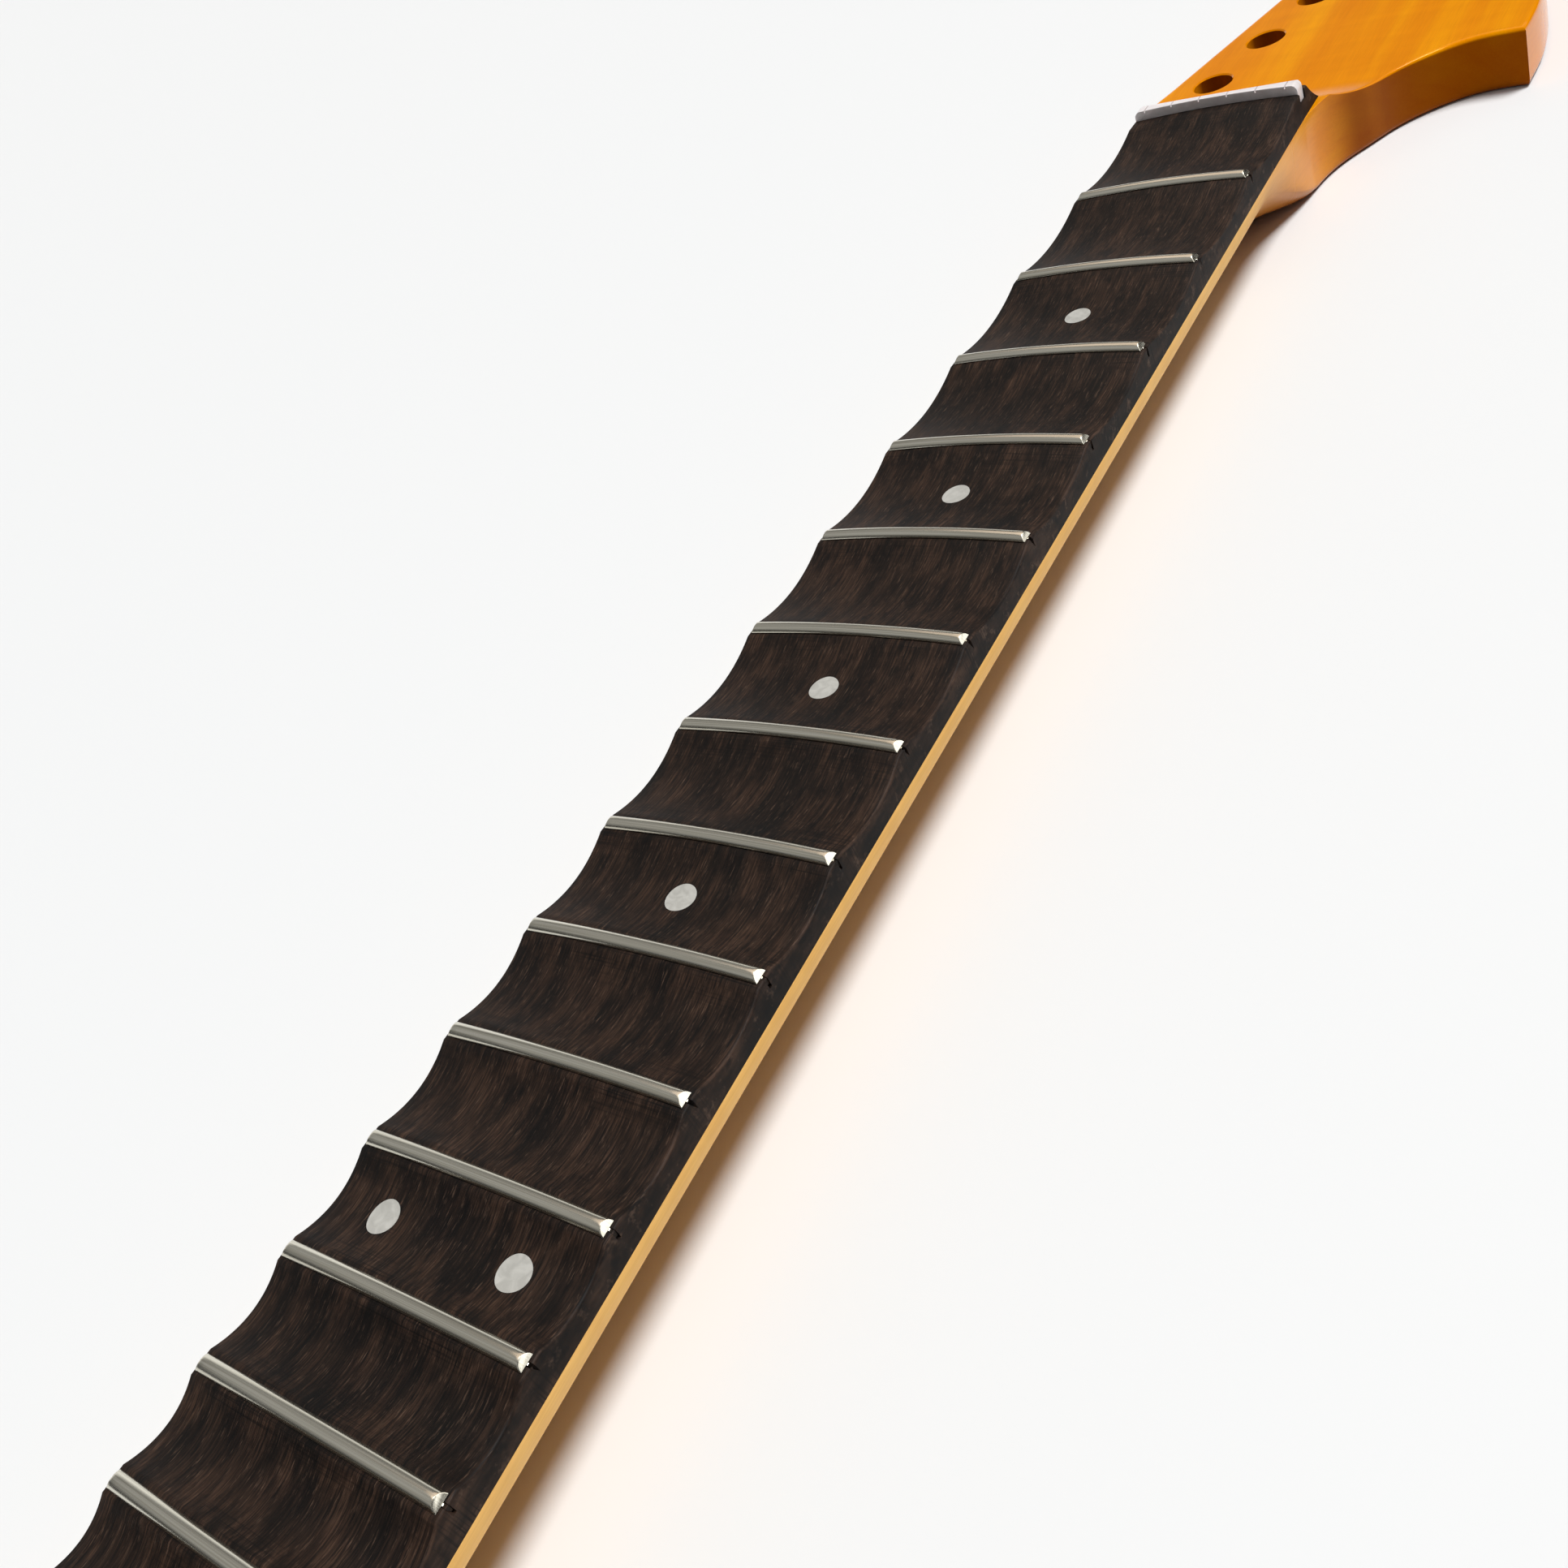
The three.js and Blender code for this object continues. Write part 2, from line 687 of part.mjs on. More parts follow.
function wireProfile() {
  const crown = crownShares.map(([across, up]) => new THREE.Vector2(
    (across * crownWidth) / 2,
    seatClearance + up * (crownHeight - seatClearance),
  ));
  const half = tangThickness / 2;
  const tang = [[half, seatClearance], [half, -tangDepth], [-half, -tangDepth], [-half, seatClearance]];
  return [...crown, ...tang.map(([y, z]) => new THREE.Vector2(y, z))];
}

function fretEnd(half, height) {
  if (height < 0) return half - slotClearance;
  return half - fretEndInset - (height - seatClearance) * Math.tan(fretEndAngle);
}

function fretGeometry(n) {
  const along = -fretFromNut(n);
  const half = boardHalfWidth(along);
  const rings = [];
  for (let i = 0; i <= boardFacets; i += 1) {
    const share = 1 - (2 * i) / boardFacets;
    rings.push(wireProfile().map((p) => {
      const x = Math.abs(share) === 1 ? share * fretEnd(half, p.y) : share * half;
      return new THREE.Vector3(x, along + p.x, crownLevel - crossFall(x) + p.y);
    }));
  }
  return loft(rings, (p) => new THREE.Vector2(p.y, p.z));
}

// Nut: stands in its slot, with rounded top corners, a back that falls away and string slots
function nutSolid() {
  const half = boardHalfWidth(0) - nutEndInset;
  const top = crownLevel + nutProud;
  const edgeTop = top - crossFall(half);
  const outline = new THREE.Shape();
  outline.moveTo(-half, nutSlotFloor);
  outline.lineTo(half, nutSlotFloor);
  outline.lineTo(half, edgeTop - nutCornerRadius);
  outline.quadraticCurveTo(half, edgeTop, half - nutCornerRadius, edgeTop);
  outline.quadraticCurveTo(0, 2 * top - edgeTop, nutCornerRadius - half, edgeTop);
  outline.quadraticCurveTo(-half, edgeTop, -half, edgeTop - nutCornerRadius);
  const plate = new THREE.ExtrudeGeometry(outline, {
    depth: nutThickness,
    bevelEnabled: false,
    curveSegments: smallHoleSides / 2,
  });
  plate.rotateX(Math.PI / 2).translate(0, nutThickness + nutSlotClearance, 0);
  let nut = solidOf(plate).subtract(nutBackCut(half, top));
  for (let i = 0; i < stringCount; i += 1) nut = nut.subtract(stringSlot(i));
  return nut;
}

function nutBackCut(half, top) {
  const back = nutThickness + nutSlotClearance;
  const front = nutSlotClearance + nutThickness / 2;
  const wide = half + cutOverrun;
  const rings = [-wide, wide].map((x) => [
    new THREE.Vector3(x, front, top),
    new THREE.Vector3(x, back + cutOverrun, top - nutBackSlope * (back + cutOverrun - front)),
    new THREE.Vector3(x, back + cutOverrun, top + cutOverrun),
    new THREE.Vector3(x, front, top + cutOverrun),
  ]);
  return solidOf(loft(rings, (p) => new THREE.Vector2(p.y, p.z)));
}

function stringSlot(i) {
  const x = stringSpread * (i / (stringCount - 1) - 1 / 2);
  const floor = crownLevel + nutProud - crossFall(x) - stringSlotDepth;
  const wide = stringSlotWidth / 2;
  const narrow = wide * stringSlotFloorShare;
  const rings = [-cutOverrun, nutThickness + cutOverrun].map((y) => [
    new THREE.Vector3(x - narrow, y, floor),
    new THREE.Vector3(x + narrow, y, floor),
    new THREE.Vector3(x + wide, y, above),
    new THREE.Vector3(x - wide, y, above),
  ]);
  return solidOf(loft(rings, (p) => new THREE.Vector2(p.x, p.z)));
}

// Truss rod: a threaded rod under a flat bar, held in a block at each end
const barTop = glueLevel - pieceClearance;
const barBottom = barTop - barHeight;
const pieceHalfWidth = channelWidth / 2 - pieceClearance;
const headBlockEnd = -headBlockFromNut;
const heelBlockStart = channelEnd + rodTail;

function trussBar() {
  return block(-pieceHalfWidth, pieceHalfWidth, heelBlockStart, headBlockEnd, barBottom, barTop);
}

function trussBlock(start) {
  const floor = glueLevel - channelDepth;
  const body = solidOf(block(
    -pieceHalfWidth,
    pieceHalfWidth,
    start,
    start + blockLength,
    floor,
    barBottom,
  ));
  const end = start + blockLength;
  const bore = lengthwiseBar(start - cutOverrun, end + cutOverrun, rodRadius + rodBoreClearance, rodSides);
  return geometryOf(body.subtract(solidOf(bore)));
}

function adjustingRod() {
  const barrelStart = headBlockEnd + 2 * pieceClearance;
  const barrelEnd = barrelStart + barrelLength;
  const socketFloor = barrelEnd - socketDepth;
  const rod = solidOf(lengthwiseBar(channelEnd + pieceClearance, socketFloor, rodRadius, rodSides));
  const barrel = solidOf(lengthwiseBar(barrelStart, barrelEnd, barrelRadius, rodSides));
  const socketRadius = socketAcrossFlats / 2 / Math.cos(Math.PI / hexSides);
  const socket = solidOf(lengthwiseBar(socketFloor, barrelEnd + cutOverrun, socketRadius, hexSides));
  return geometryOf(rod.add(barrel).subtract(socket));
}

// Assembly
addPiece('neck', geometryOf(neckSolid()), maple);
const blank = boardBlank();
addPiece('fretboard', geometryOf(boardSolid(blank)), rosewood);
addDots(blank);
for (let n = 1; n <= fretCount; n += 1) addPiece(numbered('fret', n), fretGeometry(n), nickelSilver);
addPiece('nut', geometryOf(nutSolid()), bone);
addPiece('truss_bar', trussBar(), steel);
addPiece('truss_head_block', trussBlock(headBlockEnd - blockLength), steel);
addPiece('truss_heel_block', trussBlock(heelBlockStart), steel);
addPiece('truss_rod', adjustingRod(), steel);

export default guitarNeck;
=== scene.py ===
# %% [markdown]
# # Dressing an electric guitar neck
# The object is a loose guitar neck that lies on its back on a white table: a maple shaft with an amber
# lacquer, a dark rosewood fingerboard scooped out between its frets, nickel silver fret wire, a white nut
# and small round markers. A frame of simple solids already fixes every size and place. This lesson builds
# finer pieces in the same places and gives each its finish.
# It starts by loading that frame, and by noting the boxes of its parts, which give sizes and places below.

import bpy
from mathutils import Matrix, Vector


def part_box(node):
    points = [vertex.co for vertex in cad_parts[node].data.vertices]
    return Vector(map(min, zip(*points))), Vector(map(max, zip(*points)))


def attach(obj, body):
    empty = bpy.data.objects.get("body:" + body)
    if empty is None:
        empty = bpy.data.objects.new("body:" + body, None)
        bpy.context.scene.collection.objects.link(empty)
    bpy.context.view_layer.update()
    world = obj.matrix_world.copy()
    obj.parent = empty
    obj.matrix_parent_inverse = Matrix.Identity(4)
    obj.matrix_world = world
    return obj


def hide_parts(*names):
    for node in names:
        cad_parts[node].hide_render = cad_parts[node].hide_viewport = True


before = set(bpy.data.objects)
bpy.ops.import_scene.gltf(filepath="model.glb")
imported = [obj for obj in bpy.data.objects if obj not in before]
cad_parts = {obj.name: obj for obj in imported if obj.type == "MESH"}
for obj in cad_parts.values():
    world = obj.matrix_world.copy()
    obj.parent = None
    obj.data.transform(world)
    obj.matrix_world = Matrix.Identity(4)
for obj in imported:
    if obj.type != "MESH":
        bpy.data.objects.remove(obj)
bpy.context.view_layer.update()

import math

import bmesh
import bpy
from mathutils import Quaternion, Vector

scene = bpy.context.scene

# %% [markdown]
# A neck is drawn from its scale length, the speaking length of the strings. Each fret divides what is left
# of that length by the twelfth root of two, so twelve frets halve it. All lengths here are in metres, as
# Blender's are, and MM keeps the numbers readable. The nut's place and the levels come from the frame.

# %% Sizes of the fingerboard
MM = 0.001
SCALE_LENGTH = 647.7 * MM
SEMITONES = 12
FRET_COUNT = 22
NUT_WIDTH = 41.3 * MM
TWELFTH_FRET_WIDTH = 51.5 * MM
BOARD_RADIUS = 305 * MM
SCALLOP_DEPTH = 1.95 * MM
CROWN_WIDTH = 2.75 * MM
CROWN_HEIGHT = 1.25 * MM
FRET_LAND = CROWN_WIDTH / 2 + 0.6 * MM
NUT_LAND = 4 * MM

glue_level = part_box("fretboard")[0].z
crown_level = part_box("fretboard")[1].z
heel_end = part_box("neck")[0].y
board_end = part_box("fretboard")[0].y
first_fret = (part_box("fret_01")[0].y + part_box("fret_01")[1].y) / 2


def fret_distance(number):
    """How far a fret lies from the nut's front face."""
    return SCALE_LENGTH * (1 - 2 ** (-number / SEMITONES))


nut_front = first_fret + fret_distance(1)


def half_width(distance):
    """Half the board's width at a distance from the nut. Behind the nut it stays as it is."""
    taper = (TWELFTH_FRET_WIDTH - NUT_WIDTH) / fret_distance(SEMITONES)
    return (NUT_WIDTH + taper * max(distance, 0)) / 2


def cross_fall(x):
    """How far the board's round top has fallen at x from its centre line."""
    return BOARD_RADIUS - math.sqrt(BOARD_RADIUS ** 2 - x * x)


print("nut front at", round(nut_front / MM, 2), "mm, glue line at", round(glue_level / MM, 2), "mm")

# %% [markdown]
# The photograph looks along the neck from the body end, low over the treble side, and tilted. The camera's
# place and lens were solved from the fret ends, whose places are known from the rule above. It is written
# as a place, an aim on the fingerboard and a roll about the line of sight.

# %% Camera
CAMERA_FROM_NUT = Vector((157.4, -352.95, 154.0)) * MM
AIM_FROM_NUT = Vector((6.88, -226.8, 0)) * MM
CAMERA_ROLL = math.radians(-28.83)
LENS = 35.11

nut_point = Vector((0, nut_front, crown_level))
sight = (AIM_FROM_NUT - CAMERA_FROM_NUT).normalized()
camera = bpy.data.objects.new("camera", bpy.data.cameras.new("camera"))
camera.location = nut_point + CAMERA_FROM_NUT
camera.rotation_mode = "QUATERNION"
camera.rotation_quaternion = sight.to_track_quat("-Z", "Y") @ Quaternion((0, 0, 1), CAMERA_ROLL)
camera.data.lens = LENS
camera.data.clip_start = 1 * MM
scene.collection.objects.link(camera)
scene.camera = camera
print("camera at", [round(x / MM, 1) for x in camera.location], "mm")

# %% [markdown]
# Colours are picked as the hex values that a screen shows, while Blender mixes light in linear numbers, so
# one function turns the one into the other. Materials and shapes are both built from nodes, and one function
# adds a node: it sets the node's settings, then fills its inputs, by place or by name, with values or links.

# %% Colour and node helpers
HEX_STEPS = 255
MATH, RANGE, RAMP, GROUP = "ShaderNodeMath", "ShaderNodeMapRange", "ShaderNodeValToRGB", "GeometryNodeGroup"


def colour(code):
    """An sRGB hex colour as linear red, green, blue and alpha, by that standard's own curve."""
    channels = [int(code[i:i + 2], 16) / HEX_STEPS for i in (1, 3, 5)]
    return [c / 12.92 if c <= 0.04045 else ((c + 0.055) / 1.055) ** 2.4 for c in channels] + [1]


def add(tree, kind, inputs=(), operation=None, stops=(), **settings):
    """Adds one node. A colour ramp's stops are given as position and hex colour."""
    node = tree.nodes.new(kind)
    if operation:
        node.operation = operation
    for name, value in settings.items():
        setattr(node, name, value)
    if stops:
        elements = node.color_ramp.elements
        for element, (position, code) in zip(elements, (stops[0], stops[-1])):
            element.position, element.color = position, colour(code)
        for position, code in stops[1:-1]:
            elements.new(position).color = colour(code)
    for key, value in inputs.items() if isinstance(inputs, dict) else enumerate(inputs):
        if isinstance(value, bpy.types.Node):
            value = value.outputs[0]
        if isinstance(value, bpy.types.NodeSocket):
            tree.links.new(value, node.inputs[key])
        else:
            node.inputs[key].default_value = value
    return node


def new_material(name, **shader):
    """A material whose shader's plain values are set on its own sockets."""
    material = bpy.data.materials.new(name)
    material.use_nodes = True
    tree = material.node_tree
    tree.nodes.clear()
    surface = add(tree, "ShaderNodeBsdfPrincipled", shader)
    add(tree, "ShaderNodeOutputMaterial", {"Surface": surface})
    return material, tree, surface


print("mid grey as linear light:", round(colour("#808080")[0], 3))

# %% [markdown]
# The table is a sheet of matt white, far larger than the neck, so that its far edge stays out of the picture.
# Its brightness carries much of the picture, because the lacquered edge and the metal mirror it. One sun lamp
# with a wide angle, the key, lights the whole sheet evenly, as a large diffuser overhead does. Its height and
# width were read off the soft edge of the shadow under the neck. Two weaker lamps only show as reflections: a
# low one at the side is what the filed fret ends mirror, and a wide warm one overhead gives the gloss on the
# headstock and the fret crowns. The room is grey: brighter on the bass side, dark low down behind the camera,
# and with a low bright patch behind the bass side, which gives each round fret a light line at its far side.

# %% Table and light
TABLE_SIZE = 24.0
LAMPS = {"key": (Vector((0.325, 0.2, 0.92)), 20, 3.3, "#FFFFFF"),
         "side": (Vector((0.83, 0.42, 0.37)), 40, 0.75, "#FFFFFF"),
         "overhead": (Vector((0.1, 0.45, 0.89)), 70, 0.8, "#FFE6D2")}
ROOM_FROM = Vector((-0.8, -0.6, 0))
GLOW_FROM = Vector((-0.87, 0.5, 0))
GLOW_ASIDE = (0.7, 0.79)
GLOW_UPWARDS = (0.36, 0.16)
ROOM_UPWARDS = (0.2, 0.55, 0.03, 0.24)
ROOM_ROUND = (-0.5, 0.6, 0.3, 1.6)

table_material, tree, surface = new_material("matt_white_table", Roughness=0.7)
surface.inputs["Base Color"].default_value = colour("#E6E7E7")
table = bpy.data.objects.new("table", bpy.data.meshes.new("table"))
half_table = TABLE_SIZE / 2
table_corners = [(x * half_table, y * half_table, 0) for x, y in ((-1, -1), (1, -1), (1, 1), (-1, 1))]
table.data.from_pydata(table_corners, [], [(0, 1, 2, 3)])
table.data.materials.append(table_material)
scene.collection.objects.link(table)

for name, (source, degrees, strength, tint) in LAMPS.items():
    lamp = bpy.data.objects.new(name, bpy.data.lights.new(name, "SUN"))
    lamp.data.angle = math.radians(degrees)
    lamp.data.energy = strength
    lamp.data.color = colour(tint)[:3]
    lamp.location = source
    lamp.rotation_mode = "QUATERNION"
    lamp.rotation_quaternion = (-source).to_track_quat("-Z", "Y")
    lamp.visible_diffuse = name == "key"
    scene.collection.objects.link(lamp)

scene.world = bpy.data.worlds.new("room")
scene.world.use_nodes = True
sky = scene.world.node_tree
direction = add(sky, "ShaderNodeTexCoord").outputs["Generated"]
height = add(sky, "ShaderNodeSeparateXYZ", (direction,)).outputs[2]
behind, bright = [add(sky, "ShaderNodeVectorMath", (direction, source), "DOT_PRODUCT").outputs["Value"]
                  for source in (GLOW_FROM, ROOM_FROM)]
behind = add(sky, RANGE, (behind, *GLOW_ASIDE))
low = add(sky, RANGE, (height, *GLOW_UPWARDS))
high = add(sky, RANGE, (height, *ROOM_UPWARDS))
bright = add(sky, RANGE, (bright, *ROOM_ROUND))
high = add(sky, MATH, (high, bright), "MULTIPLY")
lit = add(sky, MATH, (low, behind, high), "MULTIPLY_ADD")
sky.links.new(lit.outputs[0], sky.nodes["Background"].inputs["Strength"])
sky.nodes["Background"].inputs["Color"].default_value = colour("#FFFFFF")
scene.view_settings.view_transform = "Standard"
print("table and", len(LAMPS), "lamps")

# %% [markdown]
# Every finish here varies: wood in streaks and pores, metal in file marks, pearl in a swirl. One function makes
# noise whose patches have a given real length across the neck, along it and upwards, because a size in
# millimetres is easier to check against the real thing than a scale. Another lays such tones over each other.

# %% Patterns along the grain


def pattern(tree, across, along, up=None, detail=3, **more):
    """Noise with patches that are about that long across the neck, along it and upwards."""
    place = add(tree, "ShaderNodeTexCoord").outputs["Object"]
    scale = (1 / across, 1 / along, 1 / (up or across))
    place = add(tree, "ShaderNodeMapping", {"Vector": place, "Scale": scale}, vector_type="POINT")
    return add(tree, "ShaderNodeTexNoise", {"Vector": place, "Scale": 1, "Detail": detail, **more})


def layered(tree, base, *layers):
    """Lays tones over a base, each by its own share. A tone multiplies what lies below unless it says MIX."""
    for tone, share, *blend in layers:
        mixed = add(tree, "ShaderNodeMix", {0: share, 6: base, 7: tone}, data_type="RGBA",
                    blend_type=blend[0] if blend else "MULTIPLY")
        base = mixed.outputs[2]
    return base


print("pattern and layer helpers ready")

# %% [markdown]
# Rock maple, spokeshaved and sanded, under a sprayed amber nitro lacquer. The lacquer is deep orange and
# polished to a mirror on the headstock. It fades to a thin pale satin on the shaft, where a hand slides, so
# colour and gloss both follow one blend along the neck. Its reflections are amber where one looks straight at it
# and white only at a glance, as in a tinted film. The wood is flat-sawn: its growth rings are cylinders round a
# heart below the neck, 3.6 mm apart, which gives long soft lines on the face. Paler and darker bands about 11 mm
# wide run along it, and a curl crosses the grain every 5.5 mm, where the fibres rise and fall. The fibres are
# drawn 0.35 mm wide, several times their real size, because finer ones wouldn't show. The cut walls of the
# headstock that face along the neck are darker, partly as end grain that drinks more lacquer and partly as
# painted shade on walls turned from the light, and faces that turn downwards get a painted shade as well.

# %% Amber lacquered maple
HEART_BELOW = 46 * MM
HEART_ASIDE = -9 * MM
RING_WIDTH = 3.6 * MM
RING_WANDER = 12 * MM
FADE_START = nut_front - 45 * MM
FADE_END = nut_front + 6 * MM

maple, tree, surface = new_material("amber_lacquered_maple", IOR=1.5)
surface.inputs["Specular Tint"].default_value = colour("#E07A10")

axes = add(tree, "ShaderNodeSeparateXYZ", (add(tree, "ShaderNodeTexCoord").outputs["Object"],))
aside = add(tree, MATH, (axes.outputs[0], HEART_ASIDE), "SUBTRACT")
above = add(tree, MATH, (axes.outputs[2], HEART_BELOW), "ADD")
spoke = add(tree, "ShaderNodeCombineXYZ", (aside, 0, above))
reach = add(tree, "ShaderNodeVectorMath", (spoke,), "LENGTH").outputs["Value"]
bent = add(tree, MATH, (pattern(tree, 30 * MM, 180 * MM, detail=2), RING_WANDER, reach), "MULTIPLY_ADD")
ring = add(tree, MATH, (add(tree, MATH, (bent, RING_WIDTH), "DIVIDE"),), "FRACT")
ring_tone = add(tree, RAMP, (ring,), stops=[(0, "#FFFFFF"), (0.6, "#FAF3EA"), (0.88, "#E6D2B8"), (1, "#FFFFFF")])

bands = pattern(tree, 11 * MM, 160 * MM)
head_wood = add(tree, RAMP, (bands,), stops=[(0.3, "#E58600"), (0.5, "#EC9000"), (0.7, "#F5A000")])
shaft_wood = add(tree, RAMP, (bands,), stops=[(0.3, "#FBC770"), (0.5, "#FDCB78"), (0.7, "#FECF80")])
on_head = add(tree, RANGE, (axes.outputs[1], FADE_START, FADE_END))
gloss = add(tree, RANGE, (on_head, 0, 1, 0.6, 0.12))
tree.links.new(gloss.outputs[0], surface.inputs["Roughness"])
fibre_tone = add(tree, RAMP, (pattern(tree, 0.35 * MM, 9 * MM),), stops=[(0.3, "#E2D8CA"), (0.65, "#FFFFFF")])
curl = pattern(tree, 26 * MM, 5.5 * MM, detail=1.5, Distortion=0.4)
curl_tone = add(tree, RAMP, (curl,), stops=[(0.34, "#DCC7A8"), (0.66, "#FFFFFF")])

# Walls of the headstock that face along the neck are darkened: partly real end grain, partly painted shade on
# walls turned from the light.
facing = add(tree, "ShaderNodeSeparateXYZ", (add(tree, "ShaderNodeTexCoord").outputs["Normal"],))
sideways = add(tree, MATH, (facing.outputs[0],), "ABSOLUTE")
end_grain_and_shade = add(tree, RANGE, (sideways, 0.996, 0.85))
upright = add(tree, RANGE, (facing.outputs[2], 0.5, 0.1))
for also in (upright, on_head):
    end_grain_and_shade = add(tree, MATH, (end_grain_and_shade, also), "MULTIPLY")
# Faces that turn downwards are darkened as painted shade.
painted_underside_shade = add(tree, RANGE, (facing.outputs[2], -0.5, -0.85))
wood = layered(tree, shaft_wood, (head_wood, on_head, "MIX"), (ring_tone, 0.12), (fibre_tone, 0.3),
               (curl_tone, 0.16), (colour("#A48F7A"), end_grain_and_shade), (colour("#DDCCBB"), painted_underside_shade))
tree.links.new(wood, surface.inputs["Base Color"])

ripple = pattern(tree, 4 * MM, 7 * MM, detail=1)
skin_bump = add(tree, "ShaderNodeBump", {"Height": ripple, "Strength": 0.06, "Distance": 0.2 * MM})
tree.links.new(skin_bump.outputs[0], surface.inputs["Normal"])
print("maple nodes:", len(tree.nodes))

# %% [markdown]
# Indian rosewood, planed, scooped with a curved scraper and left bare but for a little oil. Bare wood scatters
# light, so its gloss is low and its grain carries the look. Brown and nearly black streaks about 4 mm wide run
# along it, with darker blotches between them. Pores, fibres and the paler dust that lies in them are drawn about
# 0.3 mm wide, a little wider than real ones, so that they show. Sanding blocks pulled across the neck left faint
# scratches on the high places beside the frets, so that layer reads how deep the scoop has sunk. The rounded
# edges are paler from wear and carry a painted highlight along the middle of their round, and that layer reads
# how far round the edge a point lies.

# %% Oiled rosewood
rosewood, tree, surface = new_material("oiled_rosewood", IOR=1.46)
surface.inputs["Specular IOR Level"].default_value = 0.17

streaks = pattern(tree, 4.2 * MM, 55 * MM, detail=4, Roughness=0.6, Distortion=0.3)
blotch = pattern(tree, 5 * MM, 10 * MM, detail=5, Roughness=0.65)
fibre = pattern(tree, 0.3 * MM, 9 * MM, 4 * MM, detail=4, Roughness=0.65)
dust = pattern(tree, 0.32 * MM, 3 * MM, 3 * MM, Roughness=0.7)
pore = pattern(tree, 0.36 * MM, 3.4 * MM, 3 * MM, detail=2)
scratch = pattern(tree, 14 * MM, 0.3 * MM)
patch = pattern(tree, 16 * MM, 22 * MM, detail=1)

streak_tone = add(tree, RAMP, (streaks,), stops=[(0.34, "#1A120D"), (0.46, "#2D2018"), (0.56, "#402E23"),
                                                 (0.68, "#291D16")])
blotch_tone = add(tree, RAMP, (blotch,), stops=[(0.36, "#565050"), (0.58, "#FFFFFF")])
fibre_tone = add(tree, RAMP, (fibre,), stops=[(0.36, "#5C5855"), (0.5, "#B8B2AC"), (0.62, "#FFFFFF")])
pore_tone = add(tree, RAMP, (pore,), stops=[(0.3, "#2E2A28"), (0.42, "#FFFFFF")])
scratch_tone = add(tree, RAMP, (scratch,), stops=[(0.36, "#6E6A68"), (0.5, "#FFFFFF")])
dusty = add(tree, RANGE, (dust, 0.58, 0.76, 0, 0.5))

depth, edge = [add(tree, "ShaderNodeAttribute", attribute_name=name, attribute_type="GEOMETRY").outputs["Fac"]
               for name in ("scoop", "worn")]
scratched = add(tree, RANGE, (depth, 0.1, 0.9, 0.9, 0.1))
scratched = add(tree, MATH, (scratched, add(tree, RANGE, (patch, 0.4, 0.6))), "MULTIPLY")
# Paler along the middle of the rounded edge: wear and a painted highlight.
edge_wear_and_highlight = add(tree, MATH, (edge, add(tree, RANGE, (blotch, 0.3, 0.7, -0.25, 0.5))), "MULTIPLY")
wood = layered(tree, streak_tone, (blotch_tone, 0.85), (fibre_tone, 0.95), (colour("#6E5748"), dusty, "MIX"),
               (pore_tone, 0.8), (scratch_tone, scratched), (colour("#5C463A"), edge_wear_and_highlight, "MIX"))
tree.links.new(wood, surface.inputs["Base Color"])

shine = add(tree, RANGE, (blotch, 0, 1, 0.5, 0.66))
tree.links.new(shine.outputs[0], surface.inputs["Roughness"])
relief = add(tree, "ShaderNodeBump", {"Height": pore, "Strength": 0.3, "Distance": 0.1 * MM})
relief = add(tree, "ShaderNodeBump", {"Height": fibre, "Strength": 0.2, "Distance": 0.05 * MM, "Normal": relief})
tree.links.new(relief.outputs[0], surface.inputs["Normal"])
print("rosewood nodes:", len(tree.nodes))

# %% [markdown]
# The metals. Fret wire is nickel silver, an alloy of copper, zinc and nickel, a little warmer than steel. It
# was drawn through a die, crowned with a file and rubbed with fine paper along the neck, which leaves faint
# lines across the wire and a soft gloss. The truss rod's parts are plain drawn steel, greyer and duller, with
# the die's lines along the rod. Real working lines are some hundredths of a millimetre wide. They are drawn
# 0.2 and 0.3 mm wide here, so that they show.

# %% Fret wire and rod steel


def metal(name, code, roughness, spread, grain):
    """A metal whose gloss varies with fine working marks of that size across, along and upwards."""
    material, tree, surface = new_material(name, Metallic=1)
    marks = pattern(tree, *grain, detail=4)
    lines = add(tree, RAMP, (marks,), stops=[(0.34, "#E4E2DE"), (0.6, "#FFFFFF")])
    relief = add(tree, "ShaderNodeBump", {"Height": marks, "Strength": 0.08, "Distance": 0.003 * MM})
    gloss = add(tree, RANGE, (marks, 0, 1, roughness - spread, roughness + spread))
    tone = layered(tree, colour(code), (lines, 1))
    for socket, value in (("Base Color", tone), ("Roughness", gloss.outputs[0]), ("Normal", relief.outputs[0])):
        tree.links.new(value, surface.inputs[socket])
    return material


nickel_silver = metal("filed_nickel_silver", "#DEDACB", 0.22, 0.05, (40 * MM, 0.2 * MM, 3 * MM))
rod_steel = metal("drawn_steel", "#8E9093", 0.38, 0.12, (0.3 * MM, 12 * MM, 0.3 * MM))
print("metals:", nickel_silver.name, rod_steel.name)

# %% [markdown]
# The nut is sawn from bleached bone and buffed: nearly white, a touch cool, with a soft edge to its gloss and
# tubules along it, drawn 0.4 mm wide so that they show. Light sinks about 1 mm into bone, which softens its
# shadows. The markers are punched from pearl plastic and sanded flush: pale grey, with a slow milky swirl
# about 2 mm wide and a little gloss.

# %% Bone and pearl plastic
bone, tree, surface = new_material("buffed_bone", Roughness=0.34, IOR=1.54)
for socket, value in (("Weight", 0.15), ("Radius", (1.2 * MM, 1.0 * MM, 0.9 * MM)), ("Scale", 1)):
    surface.inputs["Subsurface " + socket].default_value = value
bone_tone = add(tree, RAMP, (pattern(tree, 3 * MM, 0.4 * MM),), stops=[(0.3, "#DDD5D3"), (0.7, "#EFE8E8")])
tree.links.new(bone_tone.outputs[0], surface.inputs["Base Color"])

